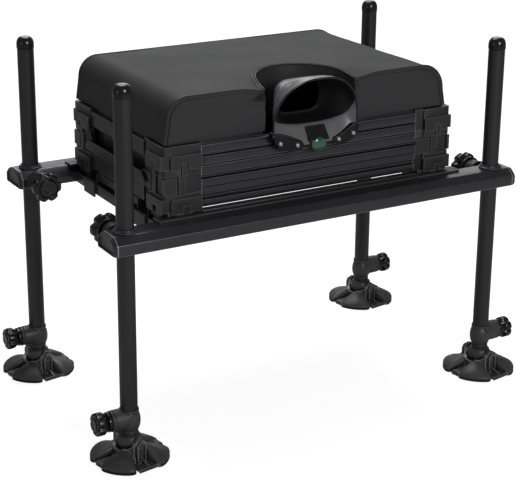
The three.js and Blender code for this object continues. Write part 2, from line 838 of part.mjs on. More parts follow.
// One clamp block over the rail, with a socket open at the top and outwards; it lies at +X and +Y
function baseBlock() {
  const sideTop = barTopHeight + baseSideRise;
  const railTop = barBottomHeight + railHeight;
  const shoulder = railTop + blockShoulder;
  const bottom = barBottomHeight - blockDrop;
  const body = block(baseInnerX, blockOuterX, blockNearY, blockFarY, bottom, shoulder, softEdge);
  const upper = block(baseInnerX, pocketOuterX, blockNearY, blockFarY, shoulder - overrun, sideTop);
  const channel = block(
    railOuterX - railWidth - fit, railOuterX + fit, blockNearY - overrun, blockFarY + overrun,
    bottom - overrun, railTop + fit,
  );
  const pocket = block(
    baseInnerX + socketWall, pocketOuterX + overrun, blockNearY + socketWall, blockFarY - socketWall,
    shoulder, sideTop + overrun,
  );
  return { body: join(body, upper), channel, pocket };
}

function baseSide() {
  const parts = [alongX(baseSideOutline(), baseInnerX, baseOuterX)];
  const tools = [];
  const low = barTopHeight + fit;
  const padTop = low + basePlate;
  for (const side of [-1, 1]) {
    const clampBlock = baseBlock();
    if (side < 0) {
      for (const part of Object.values(clampBlock)) {
        part.translate(0, -blockNearY - blockFarY, 0);
      }
    }
    parts.push(clampBlock.body);
    tools.push(clampBlock.channel, clampBlock.pocket);
    // Corner plate under the unit, the tab beside it, and the raised pad that the corner stands on
    const innerX = boxHalfX - (side < 0 ? faceColumn.width : facePlain.width);
    const near = side < 0 ? -baseOuterY : baseCurveEndY;
    const far = side < 0 ? -baseCurveEndY : baseOuterY;
    parts.push(block(innerX, baseOuterX, near, far, low, padTop));
    const tabNear = side < 0 ? -baseOuterY : baseOuterY - baseTabLength;
    parts.push(block(baseInnerX, baseTabX, tabNear, tabNear + baseTabLength, low, padTop));
    const padNear = side < 0 ? -boxHalfY : boxHalfY - 2 * boxWall;
    parts.push(block(innerX + boxWall, boxHalfX - boxWall, padNear, padNear + 2 * boxWall,
      low, lowerBottomHeight - fit));
  }
  return { parts, tools };
}

// The upright keys of the base, in the corner brackets' slots on the front and rear faces
function baseKey(face) {
  const slotMiddle = (face.slotStart + face.slotEnd) / 2;
  const left = -slotMiddle - keyWidth / 2;
  const bottom = barTopHeight + fit;
  const outer = boxHalfY + fit + keyThickness;
  const top = lowerBottomHeight - bracketBelowUnit + slotHeight - fit;
  const post = block(left, left + keyWidth, -outer, -boxHalfY - fit, bottom, top);
  const footing = block(left - keyWidth, left + 2 * keyWidth, -outer, -boxHalfY + boxWall,
    bottom, lowerBottomHeight - bracketBelowUnit - fit);
  const key = join(post, footing);
  key.scale(-1, 1, 1);
  return outward(key);
}

function addBase() {
  const { parts, tools } = baseSide();
  // Front right carries the column face, rear right the plain face
  const frontKey = baseKey(faceColumn).translate(boxHalfX - faceColumn.width, 0, 0);
  const rearKey = baseKey(facePlain).translate(-boxHalfX, 0, 0).rotateZ(Math.PI);
  const right = cut(join(...parts, frontKey, rearKey), ...tools);
  piece('base_side_right', right, mattPlastic);
  piece('base_side_left', right.clone().rotateZ(Math.PI), mattPlastic);
  const low = barTopHeight + fit;
  const section = outline([
    [-baseOuterY, low], [-boxHalfY + 2 * boxWall, low], [-boxHalfY + 2 * boxWall, low + basePlate],
    [-baseStripRimY + baseStripRimDepth, low + basePlate],
    [-baseStripRimY + baseStripRimDepth, low + baseStripRise],
    [-baseStripRimY, low + baseStripRise], [-baseStripRimY, low + basePlate], [-baseOuterY, low + basePlate],
  ]);
  const left = -boxHalfX + facePlain.width + fit;
  const rightEnd = boxHalfX - faceColumn.width - fit;
  const front = alongX(section, left, rightEnd);
  piece('base_strip_front', front, mattPlastic);
  piece('base_strip_rear', front.clone().rotateZ(Math.PI), mattPlastic);
}

// Corner mouldings. Local frame: the corner at the origin, one face along +X looking at -Y,
// the other along +Y looking at -X. Drawn places run from left to right seen from outside.
function wallPlan(inset, columnInset) {
  const shape = new THREE.Shape();
  const long = facePlain.width;
  const column = faceColumn.width;
  shape.moveTo(inset + boxCornerRadius, inset);
  shape.lineTo(long, inset);
  shape.lineTo(long, boxWall);
  shape.lineTo(boxWall, boxWall);
  shape.lineTo(boxWall, column);
  shape.lineTo(columnInset, column);
  shape.lineTo(columnInset, column - faceColumn.bracket);
  shape.lineTo(inset, column - faceColumn.bracket);
  shape.absarc(inset + boxCornerRadius, inset + boxCornerRadius, boxCornerRadius, Math.PI, Math.PI * 1.5);
  return shape;
}

// A flat solid from below a face to above it; first is true on the face along X
function onFace(shape, first, rise, sunk = boxWall / 2) {
  const axes = first
    ? [X, Z, Y.clone().negate()]
    : [Y.clone().negate(), Z, X.clone().negate()];
  const origin = first ? [0, sunk, 0] : [sunk, faceColumn.width, 0];
  return carry(shape, sunk + rise, axes, origin);
}

// The bracket with its slot open at the bottom
function bracketShape(face, bottom) {
  const top = bottom + bracketHeight;
  const right = face.width;
  const shape = new THREE.Shape();
  shape.moveTo(face.bracket, bottom);
  shape.lineTo(face.slotStart, bottom);
  shape.lineTo(face.slotStart, bottom + slotHeight);
  shape.lineTo(face.slotEnd, bottom + slotHeight);
  shape.lineTo(face.slotEnd, bottom);
  shape.lineTo(right, bottom);
  shape.lineTo(right, top);
  shape.lineTo(face.bracket + bracketCorner, top);
  shape.lineTo(face.bracket, top - bracketCorner);
  return shape;
}

function cornerMoulding(isLower) {
  const wallBottom = isLower ? lowerBottomHeight : lowerTopHeight + unitGap;
  const wallTop = isLower ? lowerTopHeight : upperTopHeight + cornerRise;
  const columnInset = boxWall / 2;
  const parts = [];
  const tools = [];
  if (isLower) {
    const flangeTop = wallBottom + lowerFlangeHeight;
    const flangeLow = wallTop - upperFlangeDrop;
    parts.push(alongZ(wallPlan(flangeInset, columnInset), wallBottom, wallTop));
    parts.push(alongZ(wallPlan(0, columnInset), wallBottom, flangeTop));
    parts.push(alongZ(wallPlan(0, columnInset), flangeLow, wallTop));
  } else {
    parts.push(alongZ(wallPlan(0, columnInset), wallBottom, wallTop));
  }
  for (const [face, first] of [[facePlain, true], [faceColumn, false]]) {
    if (isLower) {
      parts.push(...lowerFaceFeatures(face, first));
      tools.push(tongueRoom(face, first, wallTop));
    }
    parts.push(onFace(bracketShape(face, wallBottom - bracketBelowUnit), first, bracketRise));
    tools.push(bracketRoom(face, first, wallBottom));
  }
  return cut(join(...parts), ...tools);
}

// The block beside the corner, the pillar next to it and the tongue that locks the unit above
function lowerFaceFeatures(face, first) {
  const low = lowerBottomHeight + lowerFlangeHeight;
  const high = lowerTopHeight - upperFlangeDrop;
  const middle = (face.slotStart + face.slotEnd) / 2;
  const tongueTop = lowerTopHeight + slotHeight - bracketBelowUnit - fit;
  const cheek = rectangle(0, low + blockMargin, face.block, high - blockMargin);
  const pillar = rectangle(face.pillarStart, low - blockMargin, face.pillarEnd, high + blockMargin);
  const tongue = rectangle(middle - tongueWidth / 2, high, middle + tongueWidth / 2, tongueTop);
  return [
    onFace(cheek, first, blockRise),
    onFace(pillar, first, pillarRise),
    onFace(tongue, first, fit + tongueThickness),
  ];
}

// Above its own unit the tongue stands clear of the upper moulding's wall
function tongueRoom(face, first, wallTop) {
  return onFace(rectangle(0, wallTop, face.width, wallTop + bracketHeight), first, fit, boxWall);
}

// Brackets hang below their unit, clear of the wall that stands under it
function bracketRoom(face, first, wallBottom) {
  const shape = rectangle(-overrun, wallBottom - bracketHeight, face.width + overrun, wallBottom);
  return onFace(shape, first, fit + blockRise, boxWall);
}

function addCorners() {
  for (const isLower of [true, false]) {
    const moulding = cornerMoulding(isLower);
    for (const corner of corners) {
      const name = `${isLower ? 'lower' : 'upper'}_corner_${corner.name}`;
      const mesh = piece(name, moulding, mattPlastic);
      mesh.position.set(corner.x * boxHalfX, corner.y * boxHalfY, 0);
      mesh.rotation.z = (corner.turn * Math.PI) / 2;
    }
  }
}

// Section of a ribbed panel in depth (outwards is -Y) and height: rounded or peaked ribs between grooves
function ribbedSection(bottom, top, ribShares) {
  const face = -boxHalfY + panelInset;
  const back = face + panelThickness;
  const shape = new THREE.Shape();
  shape.moveTo(back, bottom);
  shape.lineTo(face, bottom);
  const ribRoom = top - bottom - (ribShares.length - 1) * ribGroove;
  const widestShare = Math.max(...ribShares);
  let height = bottom;
  ribShares.forEach((share, i) => {
    const rib = share * ribRoom;
    if (share === widestShare && ribShares.length > 2) {
      shape.lineTo(face - ribBulge, height + rib / 2);
      shape.lineTo(face, height + rib);
    } else {
      shape.quadraticCurveTo(face - ribBulge, height + rib / 2, face, height + rib);
    }
    height += rib;
    if (i < ribShares.length - 1) {
      shape.lineTo(face + ribGrooveDepth, height + ribRidge);
      shape.lineTo(face + ribGrooveDepth, height + ribGroove - ribRidge);
      shape.lineTo(face, height + ribGroove);
      height += ribGroove;
    }
  });
  shape.lineTo(back, height);
  return shape;
}

function addPanels() {
  const left = -boxHalfX + facePlain.width + fit;
  const right = boxHalfX - faceColumn.width - fit;
  const lowerSection = ribbedSection(
    lowerBottomHeight + panelMargin, lowerTopHeight - panelTopMargin, lowerRibShares,
  );
  const lower = alongX(lowerSection, left, right);
  piece('lower_panel_front', lower, ribbedMetal);
  piece('lower_panel_rear', lower.clone().rotateZ(Math.PI), ribbedMetal);
  const upperSection = ribbedSection(lowerTopHeight + unitGap, upperTopHeight, upperRibShares);
  const upper = alongX(upperSection, left, right);
  piece('upper_panel_front', upper, ribbedMetal);
  const rear = upper.clone().rotateZ(Math.PI);
  const lugs = [];
  const bores = [];
  for (const side of [-1, 1]) {
    for (const end of [-1, 1]) {
      const middle = (side * hingeSpacing) / 2 + end * (knuckleLength / 2 + runningFit + hingeLug / 2);
      const lugShape = new THREE.Shape();
      lugShape.moveTo(boxHalfY - panelThickness, hingeHeight - 3 * knuckleRadius);
      lugShape.lineTo(hingeY, hingeHeight - 2 * knuckleRadius);
      lugShape.absarc(hingeY, hingeHeight, knuckleRadius, -Math.PI / 4, Math.PI);
      lugShape.lineTo(hingeY - knuckleRadius, upperTopHeight - knuckleRadius);
      lugShape.lineTo(boxHalfY - panelThickness, upperTopHeight - knuckleRadius);
      lugs.push(alongX(lugShape, middle - hingeLug / 2, middle + hingeLug / 2));
      const bore = rod(hingePinRadius + fit, -hingeLug, hingeLug, boreSides);
      bore.rotateY(Math.PI / 2);
      bore.translate(middle, hingeY, hingeHeight);
      bores.push(bore);
    }
  }
  piece('upper_panel_rear', cut(join(rear, ...lugs), ...bores), ribbedMetal);
}

// The lower unit's floor, right wall and drawer guides in one shell
function addLowerShell() {
  const floorBottom = lowerBottomHeight + shellFloorLift;
  const floorTop = floorBottom + shellFloor;
  const innerX = boxHalfX - boxWall - fit;
  const innerY = boxHalfY - boxWall - fit;
  const outerX = boxHalfX - panelInset;
  const wallNear = -boxHalfY + facePlain.width + fit;
  const wallFar = boxHalfY - faceColumn.width - fit;
  const parts = [
    block(-innerX, innerX, -innerY, innerY, floorBottom, floorTop),
    block(innerX - overrun, outerX, wallNear, wallFar, floorBottom, floorTop),
    block(outerX - shellWallX, outerX, wallNear, wallFar, lowerBottomHeight, lowerTopHeight, softEdge),
  ];
  const [near, far] = drawerSides();
  const guideTop = floorTop + guideHeight;
  for (const inside of [near - runningFit - guideThickness, far + runningFit]) {
    parts.push(block(-innerX, innerX, inside, inside + guideThickness, floorTop - weld, guideTop));
  }
  piece('lower_shell', join(...parts), mattPlastic);
}

// The drawer runs between the left corner mouldings
function drawerSides() {
  const near = -boxHalfY + faceColumn.width + 2 * runningFit;
  const far = boxHalfY - facePlain.width - 2 * runningFit;
  return [near, far];
}

function addDrawer() {
  const [near, far] = drawerSides();
  const bottom = lowerBottomHeight + shellFloorLift + shellFloor + drawerLift;
  const frontOuter = -boxHalfX + panelInset;
  const recessInner = frontOuter + drawerRecess + drawerWall;
  const trayFront = recessInner + fit;
  const tray = cut(
    block(trayFront, trayFront + drawerDepth, near, far, bottom, bottom + drawerHeight),
    block(trayFront + drawerWall, trayFront + drawerDepth - drawerWall, near + drawerWall, far - drawerWall,
      bottom + drawerWall, bottom + drawerHeight + overrun),
  );
  piece('drawer_tray', tray, mattPlastic);
  // The front: a lower panel, a ledge with the handle bar on its edge, and a set-back upper panel
  const panelBottom = lowerBottomHeight + drawerSill;
  const panelTop = lowerTopHeight - drawerSill;
  const face = frontOuter - handleReach;
  const handleTop = handleBottomHeight + handleHeight;
  const ledgeTop = handleBottomHeight + drawerWall;
  const profile = outline([
    [frontOuter, panelBottom], [frontOuter + drawerWall, panelBottom],
    [frontOuter + drawerWall, handleBottomHeight], [recessInner, handleBottomHeight],
    [recessInner, panelTop], [recessInner - drawerWall, panelTop], [recessInner - drawerWall, ledgeTop],
    [face + handleLip, ledgeTop], [face + handleLip, handleTop], [face, handleTop],
    [face, handleBottomHeight], [frontOuter, handleBottomHeight],
  ]);
  const front = alongY(profile, near, far);
  const grip = alongY(outline([
    [face, handleBottomHeight], [face + handleLip, handleBottomHeight],
    [face + handleLip, handleTop], [face, handleTop],
  ]), -handleHalfLength, handleHalfLength);
  const chamfers = [-1, 1].map((side) => {
    const end = side * handleHalfLength;
    const beyond = end + side * overrun;
    const corner = outline([
      [beyond, handleTop + overrun], [beyond, handleTop - handleChamfer - overrun],
      [end - side * (handleChamfer + overrun), handleTop + overrun],
    ]);
    return alongX(corner, face - overrun, frontOuter - fit);
  });
  piece('drawer_front', cut(join(front, grip), ...chamfers), mattPlastic);
}

// The upper unit's tray, open at the top, with the plain panels that close its two ends
function addUpperTray() {
  const bottom = lowerTopHeight + unitGap + trayWall;
  const top = upperTopHeight;
  const innerX = boxHalfX - boxWall - fit;
  const innerY = boxHalfY - boxWall - fit;
  const box = cut(
    block(-innerX, innerX, -innerY, innerY, bottom, top),
    block(-innerX + trayWall, innerX - trayWall, -innerY + trayWall, innerY - trayWall,
      bottom + trayWall, top + overrun),
  );
  const near = -boxHalfY + facePlain.width + fit;
  const far = boxHalfY - faceColumn.width - fit;
  const side = block(innerX - weld, boxHalfX - panelInset, near, far, lowerTopHeight + sidePanelDrop, top);
  const other = side.clone().rotateZ(Math.PI);
  piece('upper_tray', join(box, side, other), mattPlastic);
}

function notchShape(margin) {
  const shape = new THREE.Shape();
  const front = -cushionHalfY - 2 * overrun;
  const mouth = notchHalfWidth + margin;
  shape.moveTo(notchCentreX - mouth, front);
  shape.lineTo(notchCentreX + mouth, front);
  shape.lineTo(notchCentreX + mouth, -cushionHalfY);
  shape.absellipse(notchCentreX, -cushionHalfY, mouth, notchDepth + margin, 0, Math.PI, false, 0);
  return shape;
}

function addSeatBoard() {
  const plate = alongZ(rectangle(-boardHalfX, -boardHalfY, boardHalfX, boardHalfY, boardCornerRadius),
    boardBottomHeight, boardTopHeight);
  const cutBottom = boardBottomHeight - overrun;
  const notch = alongZ(notchShape(notchBoardMargin), cutBottom, boardTopHeight + overrun, 0, 8);
  const parts = [cut(plate, notch)];
  for (const side of [-1, 1]) {
    const knuckle = rod(knuckleRadius, -knuckleLength / 2, knuckleLength / 2, stemSides);
    const pin = rod(hingePinRadius, -knuckleLength / 2 - hingeLug, knuckleLength / 2 + hingeLug, boreSides);
    const barrel = join(knuckle, pin);
    barrel.rotateY(Math.PI / 2);
    barrel.translate((side * hingeSpacing) / 2, hingeY, hingeHeight);
    const arm = block(-knuckleLength / 2, knuckleLength / 2, boardHalfY - 2 * overrun, hingeY,
      hingeHeight, boardTopHeight);
    arm.translate((side * hingeSpacing) / 2, 0, 0);
    parts.push(arm, barrel);
  }
  piece('seat_board', join(...parts), mattPlastic);
}

// One ring of the cushion in a plane square to Y: flat base, bulged sides, rolled upper corners
// and a crowned top. The ends' shares run from 0 at the front and rear seams to 1 in the middle.
function cushionRing(y, inset, share) {
  const cornerSteps = 4;
  const topSteps = 5;
  const sideSteps = 3;
  const halfX = cushionHalfX - cushionLean - inset - cushionDrawIn * share;
  const top = cushionTopHeight - inset;
  const radius = cushionRollRadius;
  const right = [];
  for (let i = 0; i < sideSteps; i += 1) {
    const climb = i / sideSteps;
    const bulge = cushionBulge * Math.sin(climb * Math.PI) * share;
    const reach = halfX + cushionLean * (1 - climb) + bulge;
    right.push([reach, cushionBottomHeight + (top - radius - cushionBottomHeight) * climb]);
  }
  for (let i = 0; i <= cornerSteps; i += 1) {
    const angle = (i / cornerSteps) * (Math.PI / 2);
    right.push([halfX - radius + radius * Math.cos(angle), top - radius + radius * Math.sin(angle)]);
  }
  for (let i = 1; i <= topSteps; i += 1) {
    const across = 1 - i / topSteps;
    const crown = cushionCrown * (1 - across * across) * share;
    right.push([(halfX - radius) * across, top + crown]);
  }
  const left = right.slice(0, -1).reverse().map(([x, z]) => [-x, z]);
  return right.concat(left).map(([x, z]) => [cushionCentreX + x, y, z]);
}

// The cushion is a loaf of rings from the front seam to the rear one, closed by two flat panels
function addCushion() {
  const stations = 8;
  const rings = [];
  for (let i = 0; i <= stations; i += 1) {
    const angle = (i / stations) * Math.PI;
    const share = Math.sin(angle);
    const y = -cushionHalfY * Math.cos(angle);
    const inset = cushionEdge * Math.max(0, 1 - share * stations);
    rings.push(cushionRing(y, inset, share));
  }
  const around = rings[0].length;
  const position = rings.flat(2);
  const middle = [-1, 1].map((end) => {
    position.push(cushionCentreX, end * cushionHalfY, (cushionBottomHeight + cushionTopHeight) / 2);
    return position.length / 3 - 1;
  });
  const index = [];
  for (let i = 0; i < around; i += 1) {
    const next = (i + 1) % around;
    for (let ring = 0; ring < stations; ring += 1) {
      const [a, b] = [ring * around + i, ring * around + next];
      index.push(a, b, b + around, a, b + around, a + around);
    }
    index.push(next, i, middle[0]);
    index.push(stations * around + i, stations * around + next, middle[1]);
  }
  const body = new THREE.BufferGeometry();
  body.setAttribute('position', new THREE.Float32BufferAttribute(position, 3));
  body.setIndex(index);
  const notch = alongZ(notchShape(0), cushionBottomHeight - overrun,
    cushionTopHeight + cushionCrown + overrun, 0, 8);
  piece('cushion', cut(outward(body), notch), vinyl);
}

// The arch is rounded above its springing and squarer below it
function cupLoft(inset, extra) {
  const around = 20;
  const last = cupSectionShares.length - 1;
  const position = [];
  cupSectionShares.forEach((section, ring) => {
    const y = cupFaceY + section.depth * cupDepth - (ring === 0 ? inset : 0) - (ring === last ? extra : 0);
    const low = upperTopHeight + (inset > 0 ? section.floor : section.bottom) * cupRise;
    const high = upperTopHeight + section.top * cupRise - inset;
    const spring = low + (high - low) * cupSpringShare;
    for (let i = 0; i < around; i += 1) {
      const angle = (i / around) * Math.PI * 2;
      const [c, v] = [Math.cos(angle), Math.sin(angle)];
      const half = section.width * cupHalfWidth - inset;
      const lean = ring === last ? cupLipLean * Math.max(v, 0) : 0;
      const x = cupCentreX + half * Math.sign(c) * Math.abs(c) ** cupSideShare;
      const z = v > 0
        ? spring + (high - spring) * v ** cupRoofShare
        : spring - (spring - low) * Math.abs(v) ** cupFloorShare;
      position.push(x, y - lean, z);
    }
  });
  for (const ring of [0, last]) {
    const section = cupSectionShares[ring];
    const y = cupFaceY + section.depth * cupDepth - (ring === 0 ? inset : extra);
    position.push(cupCentreX, y, upperTopHeight + ((section.floor + section.top) / 2) * cupRise);
  }
  const back = cupSectionShares.length * around;
  const index = [];
  for (let i = 0; i < around; i += 1) {
    const next = (i + 1) % around;
    for (let ring = 0; ring < last; ring += 1) {
      const [a, b] = [ring * around + i, ring * around + next];
      index.push(a, b, b + around, a, b + around, a + around);
    }
    index.push(next, i, back);
    index.push(last * around + i, last * around + next, back + 1);
  }
  const geometry = new THREE.BufferGeometry();
  geometry.setAttribute('position', new THREE.Float32BufferAttribute(position, 3));
  geometry.setIndex(index);
  return outward(geometry);
}

// A screwed lug on each side of the chin, flat on the upper unit's front
function cupLug(side) {
  const inner = lugInnerReach;
  const outer = lugOuterReach;
  const reaches = [
    [inner, lugTopHeight - lugSlope], [inner, lugBottomHeight + lugCorner],
    [inner + lugCorner / 2, lugBottomHeight], [outer - lugRoundX, lugBottomHeight],
    [outer - lugRoundX / 3, lugBottomHeight + lugRoundZ / 3], [outer, lugBottomHeight + lugRoundZ],
    [outer, lugTopHeight],
  ];
  const shape = outline(reaches.map(([reach, height]) => [cupCentreX + side * reach, height]));
  return alongY(shape, cupFaceY - lugThickness, cupFaceY);
}

function addPoleCup() {
  const level = rod(levelRadius + fit, 0, levelThickness + overrun);
  level.rotateX(Math.PI / 2);
  level.translate(levelX, levelY(), levelHeight);
  const seat = rod(levelRadius + cupWall, 0, levelSeat);
  seat.rotateX(Math.PI / 2);
  seat.translate(levelX, cupFaceY, levelHeight);
  const body = join(cupLoft(0, 0), cupLug(-1), cupLug(1), seat);
  piece('pole_cup', cut(body, cupLoft(cupWall, overrun), level), satinPlastic);
}

function levelY() {
  return cupFaceY - levelSeat + levelThickness / 2;
}

function addLevel() {
  const puck = revolve([
    [0, 0], [levelRadius, 0], [levelRadius, levelThickness - levelDome],
    [levelRadius - 2 * levelDome, levelThickness], [0, levelThickness],
  ]);
  puck.rotateX(Math.PI / 2);
  puck.translate(levelX, levelY() - fit, levelHeight);
  piece('bubble_level', puck, spiritGreen);
}

addLegs();
addBars();
addRails();
addBase();
addCorners();
addPanels();
addLowerShell();
addDrawer();
addUpperTray();
addSeatBoard();
addCushion();
addPoleCup();
addLevel();

export default seatBox;
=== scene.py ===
# Fishing seat box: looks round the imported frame, in metres, +Z up, front towards -Y
import math

import bmesh
import bpy
import numpy as np
from mathutils import Matrix, Vector


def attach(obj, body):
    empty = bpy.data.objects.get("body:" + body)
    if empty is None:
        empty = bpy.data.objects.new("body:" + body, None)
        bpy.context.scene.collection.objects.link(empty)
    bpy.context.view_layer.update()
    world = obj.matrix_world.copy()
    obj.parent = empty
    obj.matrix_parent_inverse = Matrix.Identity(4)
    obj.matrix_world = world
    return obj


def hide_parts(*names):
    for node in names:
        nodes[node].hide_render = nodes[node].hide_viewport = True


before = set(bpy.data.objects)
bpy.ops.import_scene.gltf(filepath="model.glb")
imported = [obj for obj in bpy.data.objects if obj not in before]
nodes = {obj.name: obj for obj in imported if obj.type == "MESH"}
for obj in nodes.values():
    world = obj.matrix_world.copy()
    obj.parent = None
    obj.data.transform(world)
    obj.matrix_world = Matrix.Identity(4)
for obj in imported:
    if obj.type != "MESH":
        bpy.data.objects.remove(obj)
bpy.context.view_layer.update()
mm = 0.001
fit = 0.3  # between fixed pieces that touch; it and every size below is in mm
filletShare = 0.45  # the most of a side that one fillet takes
corners = dict(front_left=(-1, -1), front_right=(1, -1), rear_right=(1, 1), rear_left=(-1, 1))


class Sizes(dict):  # a dictionary whose values are also read as sizes.name
    def __getattr__(self, name):
        return self[name]


def linear(hexColour):  # sRGB hex to a shader's linear values
    channels = [int(hexColour[i:i + 2], 16) / 255 for i in (1, 3, 5)]
    return [c / 12.92 if c <= 0.04045 else ((c + 0.055) / 1.055) ** 2.4 for c in channels] + [1.0]


def addNode(tree, kind, inputs=None, **settings):  # one node with its settings and links
    node = tree.nodes.new("ShaderNode" + kind)
    for name, value in settings.items():
        setattr(node, name, value)
    for socket, value in (inputs or {}).items():
        if isinstance(value, bpy.types.NodeSocket):
            tree.links.new(value, node.inputs[socket])
        else:
            node.inputs[socket].default_value = value
    return node


def emptyTree(owner):  # the cleared node tree of a new material or world
    owner.use_nodes = True
    owner.node_tree.nodes.clear()
    return owner.node_tree


def addObject(name, data):
    added = bpy.data.objects.new(name, data)
    bpy.context.scene.collection.objects.link(added)
    return added


# Surfaces: every shape is a grid of points, rows along it and columns across it
def gridShell(points, loop=False, ends=False):
    rows, columns = points.shape[:2]
    number = np.arange(rows * columns).reshape(rows, columns)
    across = np.vstack([number, number[:1]]) if loop else number
    across = np.hstack([across, across[:, :1]])
    quads = np.stack([across[:-1, :-1], across[:-1, 1:], across[1:, 1:], across[1:, :-1]], axis=-1)
    faces = quads.reshape(-1, 4).tolist()
    if ends:
        faces += [number[0][::-1].tolist(), number[-1].tolist()]
    return points.reshape(-1, 3), faces


def fullTurn(count):
    return np.arange(count) * 2 * math.pi / count


def gathered(*values):  # numbers and arrays side by side as points
    return np.stack(np.broadcast_arrays(*values), axis=-1)


def polar(radius, angle, height):
    return gathered(radius * np.cos(angle), radius * np.sin(angle), height)


def stepped(across, along, offsets):  # points at offsets from one place
    return [(across + out, along + up) for out, up in offsets]


def filleted(points, radius, steps=4, closed=True):
    # each corner becomes a quadratic arc that starts and ends within radius of it
    points = np.array(points, float)
    result = []
    for i, corner in enumerate(points):
        if not closed and i in (0, len(points) - 1):
            result.append(corner)
            continue
        before, after = points[i - 1] - corner, points[(i + 1) % len(points)] - corner
        lengths = np.linalg.norm(before), np.linalg.norm(after)
        reach = min(radius, filletShare * lengths[0], filletShare * lengths[1])
        start, end = corner + before / lengths[0] * reach, corner + after / lengths[1] * reach
        t = np.linspace(0, 1, steps + 1)[:, None]
        result += list((1 - t) ** 2 * start + 2 * t * (1 - t) * corner + t ** 2 * end)
    return np.array(result)


def lathe(profile, segments=64, loop=False):  # (radius, height) points turned about Z
    radius, height = np.array(profile, float).T[:, :, None]
    return gridShell(polar(radius, fullTurn(segments), height) * mm, loop=loop)


def carried(section, stations, axes, flips=(1, 1, 1), scales=None):
    # a section across the first two axes, set at stations along the third and scaled at each
    section, stations = np.array(section, float), np.array(stations, float)
    scales = np.ones(len(stations)) if scales is None else np.array(scales, float)
    a, b, along = np.eye(3)[["xyz".index(axis) for axis in axes]] * np.array(flips)[:, None]
    middle = section.mean(axis=0)
    shape = middle + (section - middle)[None] * scales[:, None, None]
    points = shape[..., :1] * a + shape[..., 1:] * b + stations[:, None, None] * along
    return gridShell(points * mm, ends=True)


def extruded(part, axes, flips):  # a part's rounded outline carried along its stations
    return carried(filleted(part["outline"], *part["round"]), part["at"], axes, flips, part.get("scale"))


def moved(shells, matrix):
    turn = np.array(matrix)
    return [(points @ turn[:3, :3].T + turn[:3, 3], faces) for points, faces in shells]


def placed(x, y, z, turnX=0, turnY=0, turnZ=0):  # a place after turns in degrees
    place = Matrix.Translation((x * mm, y * mm, z * mm))
    for angle, axis in ((turnZ, "Z"), (turnY, "Y"), (turnX, "X")):
        place = place @ Matrix.Rotation(math.radians(angle), 4, axis)
    return place


def tubeAlong(path, radius, sides=10, closed=False):  # a round cord along a path of points in metres
    path = np.array(path, float)
    ahead = np.roll(path, -1, axis=0) if closed else np.vstack([path[1:], 2 * path[-1] - path[-2]])
    behind = np.roll(path, 1, axis=0) if closed else np.vstack([2 * path[0] - path[1], path[:-1]])
    tangent = ahead - behind
    tangent /= np.linalg.norm(tangent, axis=1)[:, None]
    up = np.array([0.13, 0.21, 0.97])  # a direction that no path takes
    side = np.cross(tangent, up)
    side /= np.linalg.norm(side, axis=1)[:, None]
    over = np.cross(side, tangent)
    angle = fullTurn(sides)[None, :, None]
    points = path[:, None] + radius * mm * (np.cos(angle) * side[:, None] + np.sin(angle) * over[:, None])
    return gridShell(points, loop=closed, ends=not closed)


def makePiece(name, shells, look, body, replaces=(), sharp=35):
    points = np.concatenate([shell[0] for shell in shells])
    starts = np.cumsum([0] + [len(shell[0]) for shell in shells])
    faces = [[i + start for i in face] for shell, start in zip(shells, starts) for face in shell[1]]
    mesh = bpy.data.meshes.new(name)
    mesh.from_pydata(points.tolist(), [], faces)
    shape = bmesh.new()
    shape.from_mesh(mesh)
    bmesh.ops.remove_doubles(shape, verts=shape.verts, dist=1e-6)
    bmesh.ops.recalc_face_normals(shape, faces=shape.faces)
    shape.to_mesh(mesh)
    shape.free()
    return shownPiece(name, mesh, look, body, replaces, sharp)


def shownPiece(name, mesh, look, body, replaces, sharp):
    smoothed(mesh, sharp)
    mesh.materials.clear()
    mesh.materials.append(materials[look])
    piece = addObject(name, mesh)
    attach(piece, body)
    if replaces:
        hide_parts(*replaces)
    return piece


def smoothed(mesh, sharp):  # smooth up to an angle in degrees
    mesh.shade_smooth()
    mesh.set_sharp_from_angle(angle=math.radians(sharp))


def softened(node, width, look="nylon", body="frame", limit=25):
    # the CAD solid with whole flat faces and rounded edges
    shape = bmesh.new()
    shape.from_mesh(nodes[node].data)
    bmesh.ops.remove_doubles(shape, verts=shape.verts, dist=1e-5)
    bmesh.ops.dissolve_limit(shape, angle_limit=math.radians(0.5), verts=shape.verts, edges=shape.edges)
    mesh = bpy.data.meshes.new(node + "_soft")
    shape.to_mesh(mesh)
    shape.free()
    piece = shownPiece(node + "_soft", mesh, look, body, [node], sharp=40)
    bevel = piece.modifiers.new("edges", "BEVEL")
    bevel.width, bevel.segments, bevel.limit_method = width * mm, 2, "ANGLE"
    bevel.angle_limit, bevel.use_clamp_overlap, bevel.miter_outer = math.radians(limit), True, "MITER_ARC"
    return piece


def waves(points, seed, size, octaves=3, count=5):
    # smooth seeded noise: sines in turned directions, each octave half the size
    turn = np.random.default_rng(seed)
    total, weight = np.zeros(len(points)), 0.0
    for octave in range(octaves):
        for _ in range(count):
            direction = turn.normal(size=3)
            direction *= 2 * math.pi / (size * mm * np.linalg.norm(direction)) * 2 ** octave
            total += np.sin(points @ direction + turn.uniform(0, 7)) * 0.5 ** octave
        weight += count * 0.5 ** octave
    return total / weight * 2


# Materials
def mixedColour(tree, factor, first, second):  # 6, 7 and 2 are the node's colours
    return addNode(tree, "Mix", {"Factor": factor, 6: first, 7: second}, data_type="RGBA").outputs[2]


def ranged(tree, value, start, end=(0.0, 1.0)):  # a value's start range stretched to end
    return addNode(tree, "MapRange", {"Value": value, "From Min": start[0], "From Max": start[1],
                                      "To Min": end[0], "To Max": end[1]}).outputs["Result"]


def occluded(tree, reach, span, inside=False):  # openness within reach, over span
    hollow = addNode(tree, "AmbientOcclusion", {"Distance": reach * mm}, samples=8, inside=inside)
    return ranged(tree, hollow.outputs["AO"], span)


